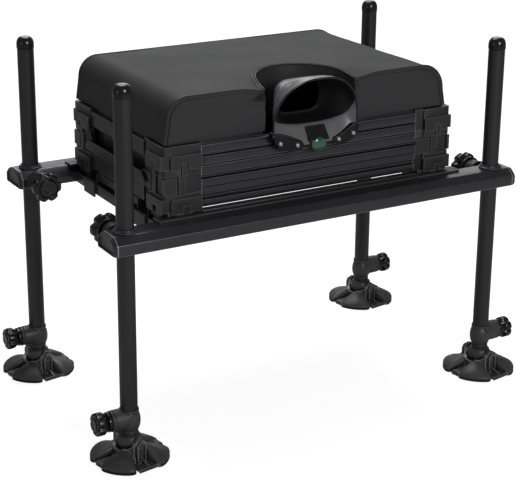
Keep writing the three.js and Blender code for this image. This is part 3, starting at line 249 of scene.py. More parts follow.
defaults = dict(metallic=0.0, ior=1.5, specular=0.5, coat=0.0, rub=(0.93, 0.6), bumps=[])


def surface(name, **changes):
    # changes: colours of the ground, its cloudy variation, painted shade in deep gaps and painted highlights
    # on edges; the painted shade darkens gaps over the openness in shade, and the painted highlight pales
    # edges over its own span of openness; bump layers are (kind, size, depth, stretch)
    recipe = Sizes(defaults, **changes)
    material = bpy.data.materials.new(name)
    tree = emptyTree(material)
    place = addNode(tree, "TexCoord").outputs["Object"]
    cloud = addNode(tree, "TexNoise", {"Vector": place, "Scale": 1000 / recipe.cloud, "Detail": 4.0})
    cloud = cloud.outputs["Fac"]
    colour = mixedColour(tree, cloud, linear(recipe.colour), linear(recipe.varied))
    # painted shade: gaps and recesses darkened towards the gap colour where ambient occlusion finds them
    # enclosed
    if "gap" in recipe:
        paintedShadeMask = occluded(tree, recipe.reach, recipe.shade)
        colour = mixedColour(tree, paintedShadeMask, linear(recipe.gap), colour)
    # painted highlight: convex edges paled towards the edge colour, standing in for light caught by rounded
    # edges
    if "edge" in recipe:
        paintedHighlightMask = occluded(tree, recipe.wear, recipe.rub, inside=True)
        colour = mixedColour(tree, paintedHighlightMask, colour, linear(recipe.edge))
    shader = addNode(tree, "BsdfPrincipled", {
        "Base Color": colour, "Roughness": ranged(tree, cloud, (0.3, 0.7), recipe.rough),
        "Metallic": recipe.metallic, "IOR": recipe.ior, "Specular IOR Level": recipe.specular,
        "Coat Weight": recipe.coat, "Coat Roughness": 0.12})
    bump = None
    for kind, size, depth, *stretch in recipe.bumps:
        scale = [1 / s for s in stretch or (1, 1, 1)]
        spread = addNode(tree, "Mapping", {"Vector": place, "Scale": scale})
        inputs = {"Vector": spread.outputs["Vector"], "Scale": 1000 / size}
        if kind == "cells":
            height = addNode(tree, "TexVoronoi", inputs, feature="SMOOTH_F1").outputs["Distance"]
        else:
            height = addNode(tree, "TexNoise", dict(inputs, Detail=2.0)).outputs["Fac"]
        layer = {"Height": height, "Distance": depth * mm, "Strength": 1.0}
        if bump:
            layer["Normal"] = bump.outputs["Normal"]
        bump = addNode(tree, "Bump", layer)
    if bump:
        tree.links.new(bump.outputs["Normal"], shader.inputs["Normal"])
    addNode(tree, "OutputMaterial", {"Surface": shader.outputs["BSDF"]})
    return material


# the feet's nylon: a base colour painted paler than the box's to stand in for light, and painted shade in
# gaps
paleLitNylon = dict(
    colour="#3c3c3e", varied="#464648", cloud=22, rough=(0.38, 0.52), ior=1.53, gap="#060606", reach=9,
    shade=(0.4, 0.92), bumps=[("grain", 1.6, 0.05), ("grain", 12.0, 0.12)])
materials = {
    # dyed oxide skin, satin, with faint drawing lines along the bar and a painted highlight along its edges
    "bar": surface(
        "anodisedAluminiumBar", colour="#4a4a4e", varied="#525256", cloud=60, rough=(0.26, 0.34),
        metallic=0.8, edge="#d8d8dc", wear=1.5, rub=(0.98, 0.74), bumps=[("grain", 2.0, 0.02, 60, 1, 1)]),
    # the same skin on the leg tubes, a little duller
    "leg": surface(
        "anodisedAluminiumTube", colour="#3c3c3e", varied="#434345", cloud=50, rough=(0.32, 0.42),
        metallic=0.6, bumps=[("grain", 2.0, 0.03, 1, 1, 40)]),
    # the same skin on the panels, with painted shade nearly black down their grooves and painted highlights
    # along the edges
    "panel": surface(
        "anodisedRibbedExtrusion", colour="#434346", varied="#4b4b4e", cloud=70, rough=(0.26, 0.34),
        metallic=0.7, gap="#020202", reach=11, shade=(0.55, 0.97), edge="#a8a8ac", wear=1.6,
        bumps=[("grain", 2.0, 0.02, 60, 1, 1)]),
    # from a spark-eroded mould: a fine matt texture, with painted shade in its recesses and a painted
    # highlight as a soft edge of light
    "nylon": surface(
        "mouldedGlassFilledNylon", colour="#262627", varied="#2d2d2f", cloud=35, rough=(0.34, 0.46),
        ior=1.53, gap="#020202", reach=5, shade=(0.4, 0.92), edge="#626264", wear=1.8,
        bumps=[("grain", 1.6, 0.04)]),
    # nylon painted paler than the box's to stand in for the extra light on the feet, with a painted
    # highlight on edges: the mud feet
    "paleLitNylon": surface("paintedLightNylon", **paleLitNylon, edge="#8c8c8e", wear=1.6),
    # the sockets take the same paler painted light but no painted edge highlight, for their shells run
    # through each other
    "socket": surface("paintedLightNylonSocket", **paleLitNylon),
    # black lugs that fix the cup to the unit, with painted shade in their recesses and a painted highlight
    # on their edges
    "black": surface(
        "blackNylon", colour="#0e0e0f", varied="#121213", cloud=30, rough=(0.4, 0.5), specular=0.3,
        gap="#020202", reach=3, shade=(0.3, 0.8), edge="#8a8a8c", wear=1.2, bumps=[("grain", 1.6, 0.03)]),
    # tighter highlights on the knobs and leg caps
    "gloss": surface(
        "polishedNylon", colour="#161618", varied="#1b1b1d", cloud=30, rough=(0.16, 0.26), ior=1.53,
        bumps=[("grain", 9.0, 0.05)]),
    # grey cup moulding with a broad pale sheen on its shoulders
    "satin": surface(
        "satinAbsMoulding", colour="#6a6a6d", varied="#747477", cloud=25, rough=(0.24, 0.34), ior=1.54,
        bumps=[("grain", 7.0, 0.06)]),
    # a black pad over the level, and a dark sheet inside the cup as painted shade where the light does not
    # reach
    "blackPadAndShade": surface(
        "blackPadAndPaintedShade", colour="#161617", varied="#1c1c1e", cloud=20, rough=(0.6, 0.7), ior=1.45,
        specular=0.35, bumps=[("grain", 1.4, 0.05)]),
    # the notch's wall: vinyl stretched smooth round the cut
    "wall": surface(
        "stretchedVinyl", colour="#323234", varied="#3a3a3c", cloud=60, rough=(0.4, 0.5),
        bumps=[("grain", 26.0, 0.5, 1, 1, 0.4)]),
    # the seams' cord: vinyl drawn tight, a shade darker
    "piping": surface(
        "vinylPiping", colour="#29292b", varied="#2e2e30", cloud=40, rough=(0.4, 0.5),
        bumps=[("grain", 1.2, 0.03)]),
    # fine pebbled grain, drawn 2.4 mm wide so that it shows
    "vinyl": surface(
        "upholsteryVinyl", colour="#38383a", varied="#3e3e40", cloud=90, rough=(0.62, 0.7), specular=0.3,
        bumps=[("cells", 2.4, 0.12), ("grain", 30.0, 0.3)]),
    # bright plated screw heads
    "screw": surface(
        "zincPlatedSteel", colour="#dcdce0", varied="#c4c4ca", cloud=4, rough=(0.3, 0.45), metallic=0.6),
    # green fluid under a clear dome, with one sharp highlight
    "level": surface(
        "greenLevelFluid", colour="#0c5a2a", varied="#14803e", cloud=12, rough=(0.05, 0.1), ior=1.49,
        coat=0.6)}
print("materials ready")

# Legs and their caps
legs = Sizes(
    spanX=744, spanY=408, radius=15, wall=2, bottom=58, top=628, chamfer=0.5, capRadius=15.8, capSkirt=7,
    capRise=21, capFlat=7, capEdge=0.6, capPlug=16)
legBore = legs.radius - legs.wall


def legShells():
    radius, edge, bottom, top = legs.radius, legs.chamfer, legs.bottom, legs.top
    return [lathe([(legBore, bottom), (radius - edge, bottom), (radius, bottom + edge), (radius, top - edge),
                   (radius - edge, top), (legBore, top)], loop=True)]


def legCapShells():
    # a plug in the tube, a short skirt, then a quarter ellipse up to a small flat
    radius, skirt, rise, flat = legs.capRadius, legs.capSkirt, legs.capRise, legs.capFlat
    foot, plug, edge = legs.top + fit, legBore - fit, legs.capEdge
    angle = np.linspace(0, math.pi / 2, 14)
    dome = gathered(flat + (radius - flat) * np.cos(angle), foot + skirt + (rise - skirt) * np.sin(angle))
    root = foot - legs.capPlug
    return [lathe([(0, root), (plug, root), (plug, foot), (radius - edge, foot), (radius, foot + edge)]
                  + dome.tolist() + [(0, foot + rise)])]


# Cross bars: one chamfered outline drawn from end to end, with a cap at each end
bars = Sizes(
    half=33, topHalf=19.5, face=19, height=30.6, bottom=374.6, reach=400, round=1.5,
    # the cap's rings as (reach past the bar, inset): swollen a little and dished inside the rim
    cap=[(0.3, 0), (2.6, 0), (3.3, 0.5), (5.4, 0.9), (6.8, 1.6), (7.3, 2.6), (7.2, 3.6), (6.6, 4.2),
        (4.6, 4.8), (4.2, 5.8)], capRound=2.6)
rails = Sizes(inner=266, outer=296, height=19, reach=170.7, round=1.5)


def barSection(offset, radius):
    b = bars
    half, top, low = b.half - offset, b.height - offset, offset
    slope = math.hypot(b.half - b.topHalf, b.height - b.face)
    face = b.face - offset * (slope - (b.height - b.face)) / (b.half - b.topHalf)
    flat = b.topHalf - offset * (slope - (b.half - b.topHalf)) / (b.height - b.face)
    outline = [(-half, low), (half, low), (half, face), (flat, top), (-flat, top), (-half, face)]
    return filleted(outline, radius, 3) + [0, b.bottom]


def barCap(end):
    rows = [gathered(end * (bars.reach + reach), *barSection(inset, bars.capRound).T)
            for reach, inset in bars.cap]
    return gridShell(np.stack(rows) * mm, ends=True)


# Leg clamps: a flanged collar round the leg, and a barrel for the knob's stud
clamps = Sizes(
    bore=15.6, sleeve=18.6, flange=21, neck=18.2, rise=6, lip=2.4, drop=5, flare=0.4, taper=0.8, round=0.9,
    height=387, stem=9, stemLap=1, barrel=18.6, start=33.4, end=57.4, ring=20.6, ringWidth=4, ringSlope=2.2,
    barrelRound=1.2,
    # the barrel's end as offsets from its radius and its end
    face=[(0, -5), (-1, -4.4), (-1, 0)], knobSpread=1.3)


def clampShells():
    c = clamps
    bore, neck, flange, sleeve, lip = c.bore, c.neck, c.flange, c.sleeve, c.lip
    top, bottom = bars.bottom + bars.height + fit, bars.bottom - fit
    collar = lathe(filleted([
        (bore, bottom - c.drop), (neck, bottom - c.drop), (neck + c.flare, bottom - lip - c.taper),
        (flange, bottom - lip), (flange, bottom), (sleeve, bottom), (sleeve, top), (flange, top),
        (flange, top + lip), (neck + c.flare, top + lip + c.taper), (neck, top + c.rise),
        (bore, top + c.rise)], c.round), loop=True)
    root, ringEnd = bore - c.stemLap, c.start + c.ringWidth
    stem = lathe([(0, root), (c.stem, root), (c.stem, ringEnd), (0, ringEnd)], 40)
    ring = [(0, c.start), (c.ring, c.start), (c.ring, ringEnd)]
    barrel = [(c.barrel, ringEnd + c.ringSlope)] + stepped(c.barrel, c.end, c.face)
    barrel = lathe(filleted(ring + barrel + [(0, c.end)], c.barrelRound, closed=False), 56)
    return [collar] + moved([stem, barrel], placed(0, 0, c.height, turnX=-90))


# Lobed knobs: a collar, a waist, and dents between the lobes that fade towards both faces
knobs = Sizes(
    radius=20.4, lobe=3.4, lobes=6, dentPower=1.4, fadePower=0.6, gap=0.9, collar=17.2, collarWidth=5,
    collarSlope=0.6, stemInset=1, waist=14, standOff=13.2, length=14, stud=4, studStart=15.3, round=1.2,
    stemRound=0.8,
    # the handle's profile as offsets from the waist and the rim, at its near face and its far one
    root=[(0, -7), (0.5, -6.2)], back=[(-1, -0.6), (0, 1.4)], front=[(0, -3.4), (-2.6, 0)],
    dish=[(0.2, 0.2), (-0.8, -1.8), (-1.8, -1.6), (-2.6, 1.4)], hub=[(8, 1.6), (7.2, 0.7), (0, 0.7)],
    fadeFrom=0.2, stemEnd=6)


def knobShells(seat, spread=1.0):
    # seat is the barrel's end, and spread widens all but the stud and the hub
    k = Sizes(knobs, **{part: knobs[part] * spread for part in ("radius", "lobe", "collar", "waist")})
    radius, waist, collar = k.radius, k.waist, seat + k.gap
    near = collar + k.standOff
    far = near + k.length
    profile = [(0, near + k.root[0][1])] + stepped(waist, near, k.root) + stepped(radius, near, k.back)
    profile += stepped(radius, far, k.front) + stepped(waist, far, k.dish) + stepped(0, far, k.hub)
    profile = filleted(profile, k.round, closed=False)
    angle = fullTurn(144)
    dent = np.clip(-np.cos(angle * k.lobes), 0, 1) ** k.dentPower
    inner = waist + k.fadeFrom
    share = np.clip((profile[:, :1] - inner) / (radius - inner), 0, 1) ** k.fadePower
    handle = gridShell(polar(profile[:, :1] - share * k.lobe * dent, angle, profile[:, 1:]) * mm)
    root, stemEnd, collarEnd = waist - k.stemInset, near - k.stemEnd, collar + k.collarWidth
    stem = [(0, k.studStart), (k.stud, k.studStart), (k.stud, collar), (k.collar, collar),
            (k.collar, collarEnd), (root, collarEnd + k.collarSlope), (root, stemEnd), (0, stemEnd)]
    return [handle, lathe(filleted(stem, k.stemRound, closed=False), 56)]


# Foot sockets: a round belly for the leg, a barrel for the knob, a ringed neck, a ball and its pin
sockets = Sizes(
    top=91, collar=16.9, bore=15.3, boreFloor=57.7, lipRound=0.7, belly=19.4, bellyHeight=70, bellyHalf=15.6,
    bellyDraw=3.6, bellyPower=2.4, ring=15.6, neckRound=0.6, ball=21.5, ballHeight=32, ballShare=0.66,
    barrel=18.4, barrelEnd=36, barrelRound=0.9, knobHeight=74, pin=4.1, pinReach=34.5, pinCrown=0.4,
    pinShoulder=1, pinBevel=1.2, pinRound=0.8,
    # heights with offsets from the collar's and the ring's radius
    lip=[(-0.7, 85.8), (0, 86.4)],
    neck=[(-1.2, 45), (0, 45.6), (0, 47), (-2, 47.6), (-2, 48.6), (0, 49.2), (0, 51), (-1.4, 51.8),
        (-1.2, 53.2)],
    # the barrel's rim as offsets from its radius and its end
    rim=[(0, -7), (-1.2, -6.2), (-1.2, -4.4), (-0.2, -3.6), (-0.2, -1), (-1.6, 0)],
    # the seams: angles in radians either side of the barrel, radius, height and thickness
    seamFrom=1.75, seamSwing=0.95, seamRadius=17.3, seamSwell=2.2, seamTop=87, seamDrop=17, seamThick=0.75)


def socketShells():
    s = sockets
    down = np.linspace(0, s.ballShare * math.pi, 20)
    ball = gathered(s.ball * np.sin(down), s.ballHeight - s.ball * np.cos(down))
    swell = np.linspace(-1, 1, 13)
    belly = gathered(s.belly - s.bellyDraw * np.abs(swell) ** s.bellyPower,
                     s.bellyHeight + s.bellyHalf * swell)
    neck = filleted(stepped(s.ring, 0, s.neck), s.neckRound, 3, closed=False)
    mouth = [(s.collar, s.top), (s.bore, s.top), (s.bore, s.boreFloor), (0, s.boreFloor)]
    lip = filleted(stepped(s.collar, 0, s.lip) + mouth, s.lipRound, 3, closed=False)
    body = lathe(np.concatenate([ball, neck, belly, lip]), 72)
    barrel = [(0, 0), (s.barrel, 0)] + stepped(s.barrel, s.barrelEnd, s.rim) + [(0, s.barrelEnd)]
    barrel = lathe(filleted(barrel, s.barrelRound, closed=False), 56)
    # a moulded seam on each side, from the lip down to the barrel's root
    climb = np.linspace(0, 1, 14)
    radius = s.seamRadius + s.seamSwell * np.sin(climb * 1.5)
    angle, height = s.seamFrom - s.seamSwing * climb, s.seamTop - s.seamDrop * climb
    seams = [tubeAlong(polar(radius, side * angle, height) * mm, s.seamThick, 6) for side in (-1, 1)]
    return [body] + moved([barrel], placed(0, 0, s.knobHeight, turnY=90)) + seams


def pinShells(turn):
    s = sockets
    head, reach = s.pin, s.pinReach
    crown, shoulder, neck = reach + s.pinCrown, reach - s.pinShoulder, head - s.pinBevel
    pin = lathe(filleted([(0, -crown), (neck, -crown), (head, -shoulder), (head, shoulder), (neck, crown),
                          (0, crown)], s.pinRound, closed=False), 32)
    return moved([pin], placed(0, 0, s.ballHeight, turnZ=turn) @ placed(0, 0, 0, turnX=90))


# Mud feet: four petals like fans on a low cup round the ball; two ears hold the pin
feet = Sizes(
    radius=67.8, turn=10, petalTurn=-6, petalStart=24,
    # half width of the slot on each side of a petal: a size and a share of the radius
    sideSlot=(3.6, 0.15), endSlot=(5.2, 0.25),
    alongShares=[0, 0.08, 0.16, 0.26, 0.36, 0.46, 0.56, 0.66, 0.76, 0.85, 0.92, 0.97, 1, 1, 1, 1],
    acrossShares=[0, 0, 0.015, 0.05, 0.1, 0.18, 0.28, 0.38, 0.44, 0.5, 0.56, 0.62, 0.72, 0.82, 0.9, 0.95,
        0.985, 1, 1], cornerShares=(0.7, 0.07), sagShare=0.3, flute=1.0, fluteShares=(0.45, 0.2),
    domeAt=[24, 30, 36, 42, 48, 54, 60, 64, 66.4, 67.8],
    dome=[26, 25.5, 24.4, 22.9, 21, 18.4, 14.6, 11.6, 9.4, 7.4], sideDrop=(1.2, 0.3), sideHeight=0.4,
    rimHeights=(5.9, 2.2, 0.05), rimShares=(1, 0.978, 0.962), shoulderShare=0.998,
    # the cup's outside as (radius, height), its rim as (radius, drop from the saddle), the ball's room
    cup=27.5, saddle=38, saddleHeight=60, room=22.4, roomDrop=1, roomFloor=2,
    cupSide=[(2, 0.1), (30, 0), (31.5, 0.6), (31, 8), (28.8, 13), (27.8, 15.5)],
    cupRim=[(27.6, 2.2), (28.1, 1.6), (28.1, 0.4), (27.4, 0), (23.6, 0), (22.9, 0.5)],
    # a pointed boss with a raised frame round the bolt, before a taller round tab
    boss=dict(outline=[(-9, 1), (9, 1), (9, 33), (5, 39), (0, 40.6), (-5, 39), (-9, 33)], round=(1.6, 3),
        at=[20, 35.2, 36, 36, 33.4, 33.4], scale=[1, 1, 0.965, 0.78, 0.75, 0.5]),
    tabHalf=7.6, tabFoot=6, tabHeight=36.5, tabRise=9,
    tab=dict(round=(0.8, 2), at=[22.9, 23.5, 28.6, 29.3], scale=[0.95, 1, 1, 0.94]),
    # the low web between the front petals has a raised lip, and a rib under the boss
    web=dict(outline=[(-21, 0), (21, 0), (21, 2.6), (-21, 2.6)], round=(0.8, 2), at=[26, 57.5]),
    lip=dict(outline=[(57, 0), (60.6, 0), (60.6, 4.6), (59.4, 6), (57, 6)], round=(0.9, 3),
        at=[-22, -21, 21, 22], scale=[0.9, 1, 1, 0.9]),
    rib=dict(outline=[(33, 0), (58, 0), (58, 4.2), (33, 12)], round=(0.8, 3), at=[-2, -1.6, 1.6, 2],
        scale=[0.92, 1, 1, 0.92]),
    # the side slots are webbed for most of their length
    sideWeb=dict(outline=[(-12.6, 0), (12.6, 0), (12.6, 7), (8, 9.4), (-8, 9.4), (-12.6, 7)], round=(1.4, 3),
        at=[26, 60, 62, 62.6], scale=[1, 1, 0.94, 0.8]))


def petalShell(flipX, flipY):
    f = feet
    share, across, start = np.array(f.alongShares), np.array(f.acrossShares), f.petalStart
    span = np.abs(2 * across - 1)
    # the outline's corners are drawn in a little
    cornerFrom, cornerDraw = f.cornerShares
    corner = 1 - cornerDraw * np.maximum(0, (span - cornerFrom) / (1 - cornerFrom)) ** 2
    radius = start + (f.radius * corner - start) * share[:, None]
    # each petal runs from the side slot to the wider front or rear slot
    first = np.arcsin((f.sideSlot[0] + f.sideSlot[1] * radius) / radius)
    last = math.pi / 2 - np.arcsin((f.endSlot[0] + f.endSlot[1] * radius) / radius)
    angle = first + (last - first) * across + math.radians(f.petalTurn) * flipX * flipY
    # a full dome from the cup to the rim, rounded off towards its slots, with one soft flute each side
    height = np.interp(radius, f.domeAt, f.dome) * (1 - f.sagShare * span ** 4)
    place, width = f.fluteShares
    height -= f.flute * np.sin(share[:, None] * math.pi) * np.exp(-((span - place) / width) ** 2)
    height[:, [1, -2]] -= f.sideDrop[0]
    height[:, [2, -3]] -= f.sideDrop[1]
    height[:, [0, -1]] = f.sideHeight
    # the rim: a rounded shoulder, a drawn-in band below it, and the sole
    height[-3:] = np.minimum(height[-3:], np.array(f.rimHeights)[:, None])
    radius[-4] *= f.shoulderShare
    radius[-3:] *= np.array(f.rimShares)[:, None]
    top = polar(radius, angle, height)
    under = top[:, ::-1] * [1, 1, 0]
    points, faces = gridShell(np.concatenate([top, under], axis=1) * mm, ends=True)
    return points * [flipX, flipY, 1], faces


def footShells():
    f = feet
    angle = fullTurn(160)
    rim = f.saddleHeight - np.sqrt(f.saddle ** 2 - (f.cup * np.sin(angle)) ** 2)
    rows = [polar(r, angle, float(height)) for r, height in f.cupSide]
    rows += [polar(r, angle, rim - drop) for r, drop in f.cupRim]
    for dip in np.linspace(0.2, 1, 9) * math.pi / 2:
        height = np.minimum(rim - f.roomDrop, sockets.ballHeight - f.room * math.sin(dip))
        rows.append(polar(max(f.room * math.cos(dip), f.roomFloor), angle, height))
    cup = gridShell(np.stack(rows) * mm, loop=True)
    shells = [petalShell(x, y) for x, y in ((1, 1), (-1, 1), (-1, -1), (1, -1))] + [cup]
    arch = np.linspace(0, math.pi, 18)
    arch = gathered(f.tabHalf * np.cos(arch), f.tabHeight + f.tabRise * np.sin(arch)).tolist()
    tab = dict(f.tab, outline=[(f.tabHalf, f.tabFoot)] + arch + [(-f.tabHalf, f.tabFoot)])
    for side in (-1, 1):
        shells += [extruded(part, "xzy", (1, 1, side)) for part in (f.boss, tab)]
    for side in (-1, 1):
        shells.append(extruded(f.web, "xzy", (1, 1, side)))
        shells += [extruded(f[part], "yzx", (side, 1, 1)) for part in ("lip", "rib")]
        shells.append(extruded(f.sideWeb, "yzx", (1, 1, side)))
    return shells


print("leg parts ready")
for name, (x, y) in corners.items():
    leg = placed(x * legs.spanX / 2, y * legs.spanY / 2, 0)
    makePiece("leg_tube_" + name, moved(legShells(), leg), "leg", "leg_" + name, ["leg_" + name])
    makePiece("leg_end_" + name, moved(legCapShells(), leg), "gloss", "leg_" + name, ["leg_cap_" + name])
    facing = leg @ placed(0, 0, 0, turnZ=0 if y < 0 else 180)
    makePiece("clamp_body_" + name, moved(clampShells(), facing), "nylon", "frame", ["leg_clamp_" + name])
    handle = facing @ placed(0, 0, clamps.height, turnX=-90)
    makePiece("clamp_grip_" + name, moved(knobShells(clamps.end, clamps.knobSpread), handle), "gloss",
              "clamp_knob_" + name, ["clamp_knob_" + name])
    side = leg @ placed(0, 0, 0, turnZ=0 if x > 0 else 180)
    socket = moved(socketShells(), side) + moved(pinShells(feet.turn), leg)
    makePiece("socket_body_" + name, socket, "socket", "leg_" + name, ["foot_socket_" + name])
    grip = side @ placed(0, 0, sockets.knobHeight, turnY=90)
    makePiece("foot_grip_" + name, moved(knobShells(sockets.barrelEnd), grip), "gloss", "foot_knob_" + name,
              ["foot_knob_" + name])
    makePiece("foot_petals_" + name, moved(footShells(), leg @ placed(0, 0, 0, turnZ=feet.turn)), "paleLitNylon",
              "mud_foot_" + name, ["mud_foot_" + name])
print("legs dressed")

for name, side in (("front", -1), ("rear", 1)):
    place = placed(0, side * legs.spanY / 2, 0)
    bar = carried(barSection(0, bars.round), [-bars.reach, bars.reach], "yzx")
    makePiece("bar_skin_" + name, moved([bar], place), "bar", "frame", ["bar_" + name], sharp=50)
    for word, end in (("left", -1), ("right", 1)):
        makePiece(f"bar_end_{name}_{word}", moved([barCap(end)], place), "nylon", "frame",
                  [f"bar_cap_{name}_{word}"])
railTop = bars.bottom + rails.height
rail = filleted([(rails.inner, bars.bottom), (rails.outer, bars.bottom), (rails.outer, railTop),
                 (rails.inner, railTop)], rails.round, 3)
for word, side in (("left", -1), ("right", 1)):
    skin = carried(rail * [side, 1], [-rails.reach, rails.reach], "xzy")
    makePiece("rail_skin_" + word, [skin], "bar", "frame", ["rail_" + word])
print("bars and rails dressed")

# Mouldings and extrusions that keep the CAD shape, with the width of their rounded edges
moulded = dict(
    base_side_left=0.7, base_side_right=0.7, base_strip_front=0.6, base_strip_rear=0.6, corner=0.5,
    lower_shell=0.5, upper_tray=0.5, drawer_front=0.7, drawer_tray=0.6, seat_board=0.5, bubble_level=0.4,
    upper_panel_rear=0.35)
bodies = dict(drawer_front="drawer", drawer_tray="drawer", seat_board="seat")
for node in ("base_side_left", "base_side_right", "base_strip_front", "base_strip_rear"):
    softened(node, moulded[node])
softened("upper_panel_rear", moulded["upper_panel_rear"], "panel", limit=15)

# Ribbed panels: flat faces between deep grooves, each groove with a low ridge along its floor
panels = Sizes(
    back=173.6, face=180.5, floor=176.4, near=215.7, far=219.7, wallRun=0.9, ridgeHalf=1.1, ridgeRise=1.5,
    lineHalf=0.9, lineDepth=1.6, round=0.45,
    lower=dict(ends=(415, 486.2), grooves=[(427, 437), (463, 470.5)], lines=[448.8]),
    upper=dict(ends=(488.4, 522), grooves=[(502.2, 507.8)], lines=[]))


def panelSection(unit):
    p, shape = panels, panels[unit]
    face, floor, run, half = p.face, p.floor, p.wallRun, p.ridgeHalf
    outline = [(face, z) for z in shape["ends"]]
    for low, high in shape["grooves"]:
        middle = (low + high) / 2
        outline += [(face, low), (floor, low + run), (floor, middle - half), (floor + p.ridgeRise, middle),
                    (floor, middle + half), (floor, high - run), (face, high)]
    for place in shape["lines"]:
        outline += [(face, place - p.lineHalf), (face - p.lineDepth, place), (face, place + p.lineHalf)]
    outline.sort(key=lambda point: point[1])
    return filleted([(p.back, shape["ends"][0])] + outline + [(p.back, shape["ends"][1])], p.round, 2)


for unit, word, side in (("lower", "front", -1), ("upper", "front", -1), ("lower", "rear", 1)):
    reach = [panels.near * -side, panels.far * side]
    skin = carried(panelSection(unit), sorted(reach), "yzx", (side, 1, 1))
    makePiece(f"{unit}_skin_{word}", [skin], "panel", "frame", [f"{unit}_panel_{word}"])
for name in corners:
    for unit in ("lower", "upper"):
        softened(f"{unit}_corner_{name}", moulded["corner"])
for node in ("lower_shell", "upper_tray", "drawer_front", "drawer_tray", "seat_board"):
    softened(node, moulded[node], body=bodies.get(node, "frame"))
print("box units dressed")

# Cushion: a loaf of upright sections from the front seam to the rear one, with a notch for the cup
cushion = Sizes(
    x=-4, halfX=283, halfY=177, bottom=530, top=607.5, crown=5, lean=6, drawIn=3, bulge=3, rollLeft=36,
    rollRight=46, dip=6.5, dipWidth=30, dipDepth=34, notchX=-7, notchHalf=90, notchDepth=108,
    cutter=(500, 640), cutterRun=30, cord=1.35, seam=6.2, panel=3.5,
    # creases in the front panel: from (x, z) to (x, z), and the depth
    creases=[(-99, 600, -131, 562, 5), (-99, 572, -118, 546, 2.4), (85, 598, 104, 570, 2.2)], creaseHalf=4.4,
    waveSize=120, waves=(0.2, 0.2, 0.7), waveFade=30,
    panelShares=[0.985, 0.96, 0.93, 0.9, 0.86, 0.82, 0.76, 0.7, 0.64, 0.58, 0.5, 0.42, 0.34, 0.25, 0.12,
        0.0], floorPoints=29)


def fullness(y):
    return math.sqrt(max(0.0, 1 - (y / cushion.halfY) ** 2))


def cushionHalf(y, side):
    # one side from bottom to top centre: it leans in, bulges and rolls over to the crown
    c = cushion
    share = fullness(y)
    half = c.halfX - c.lean - c.drawIn * share
    top, roll = c.top, c.rollLeft if side < 0 else c.rollRight
    climb = np.linspace(0, 1, 26)
    wall = gathered(half + c.lean * (1 - climb) + c.bulge * np.sin(climb * math.pi) * share,
                    c.bottom + (top - roll - c.bottom) * climb)
    angle = np.linspace(0, math.pi / 2, 24)[1:]
    corner = gathered(half - roll + roll * np.cos(angle), top - roll + roll * np.sin(angle))
    across = np.linspace(1, 0, 60)[1:]
    roof = gathered((half - roll) * across, top + c.crown * (1 - across ** 2) * share)
    floor = gathered((half + c.lean) * np.linspace(0, 1, c.floorPoints + 1)[:-1], c.bottom)
    return np.concatenate([floor, wall, corner, roof]) * [side, 1]


def cushionSection(y):
    right, left = cushionHalf(y, 1), cushionHalf(y, -1)
    return np.concatenate([right, left[1:-1][::-1]]) + [cushion.x, 0]


def sewnDown(x, y, z):
    # the height with its sag: the top dips beside both ends of the notch's mouth
    c = cushion
    share = np.clip((z - c.bottom) / (c.top - c.bottom), 0, 1) ** 3
    sag = 0
    for place in (c.notchX - c.notchHalf, c.notchX + c.notchHalf):
        away = ((x - place) / c.dipWidth) ** 2 + ((y + c.halfY) / c.dipDepth) ** 2
        sag = sag + c.dip * np.exp(-away)
    return z - sag * share


def crease(x, z):
    # depth of the front panel's creases at a place: narrow grooves that fade with length
    total = 0
    for x0, z0, x1, z1, depth in cushion.creases:
        along = ((x - x0) * (x1 - x0) + (z - z0) * (z1 - z0)) / ((x1 - x0) ** 2 + (z1 - z0) ** 2)
        away = np.abs((x - x0) * (z1 - z0) - (z - z0) * (x1 - x0)) / math.hypot(x1 - x0, z1 - z0)
        fade = np.clip(1.15 - along, 0, 1) * np.clip(along * 3 + 1, 0, 1)
        total = total + depth * np.exp(-(away / cushion.creaseHalf) ** 2) * fade
    return total


def cushionMesh():
    c = cushion
    stations = -c.halfY * np.cos(np.linspace(0, math.pi, 90))
    rings = [cushionSection(y) for y in stations]
    body = [gathered(ring[:, 0], y, ring[:, 1]) for ring, y in zip(rings, stations)]
    # front and rear panels: rings shrunk towards the middle and pushed out by the foam
    middle = np.array([c.x, (c.bottom + c.top) / 2])
    for end, ring in ((-1, rings[0]), (1, rings[-1])):
        rows = []
        for share in c.panelShares:
            shrunk = middle + (ring - middle) * share
            y = end * (c.halfY + c.panel * (1 - share ** 4))
            rows.append(gathered(shrunk[:, 0], y, shrunk[:, 1]))
        body = rows[::-1] + body if end < 0 else body + rows
    points = np.stack(body)
    ahead = points[..., 1] < 1 - c.halfY
    points[..., 1] += np.where(ahead, crease(points[..., 0], points[..., 2]), 0)
    points[..., 2] = sewnDown(points[..., 0], points[..., 1], points[..., 2])
    upper = np.clip((points[..., 2] - c.bottom) / c.waveFade, 0, 1)[..., None]
    shift = waves(points.reshape(-1, 3) * mm, 5, c.waveSize).reshape(points.shape[:2])[..., None]
    return gridShell((points + upper * shift * c.waves) * mm)


def notchTool():
    c = cushion
    angle = np.linspace(0, math.pi, 72)
    x, y = c.notchX + c.notchHalf * np.cos(angle), -c.halfY + c.notchDepth * np.sin(angle)
    ends = [[[c.notchX + side * c.notchHalf, -c.halfY - c.cutterRun]] for side in (1, -1)]
    return carried(np.concatenate([ends[0], gathered(x, y), ends[1]]), c.cutter, "xyz")


pad = makePiece("cushion_cover", [cushionMesh()], "vinyl", "seat")
tool = makePiece("notch_cutter", [notchTool()], "wall", "seat")
cutter = pad.modifiers.new("notch", "BOOLEAN")
cutter.object, cutter.operation, cutter.solver = tool, "DIFFERENCE", "EXACT"
cutter.material_mode = "TRANSFER"
depsgraph = bpy.context.evaluated_depsgraph_get()
cutMesh = bpy.data.meshes.new_from_object(pad.evaluated_get(depsgraph))
pad.modifiers.clear()
pad.data = cutMesh
bpy.data.objects.remove(tool)
smoothed(cutMesh, 50)
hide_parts("cushion")


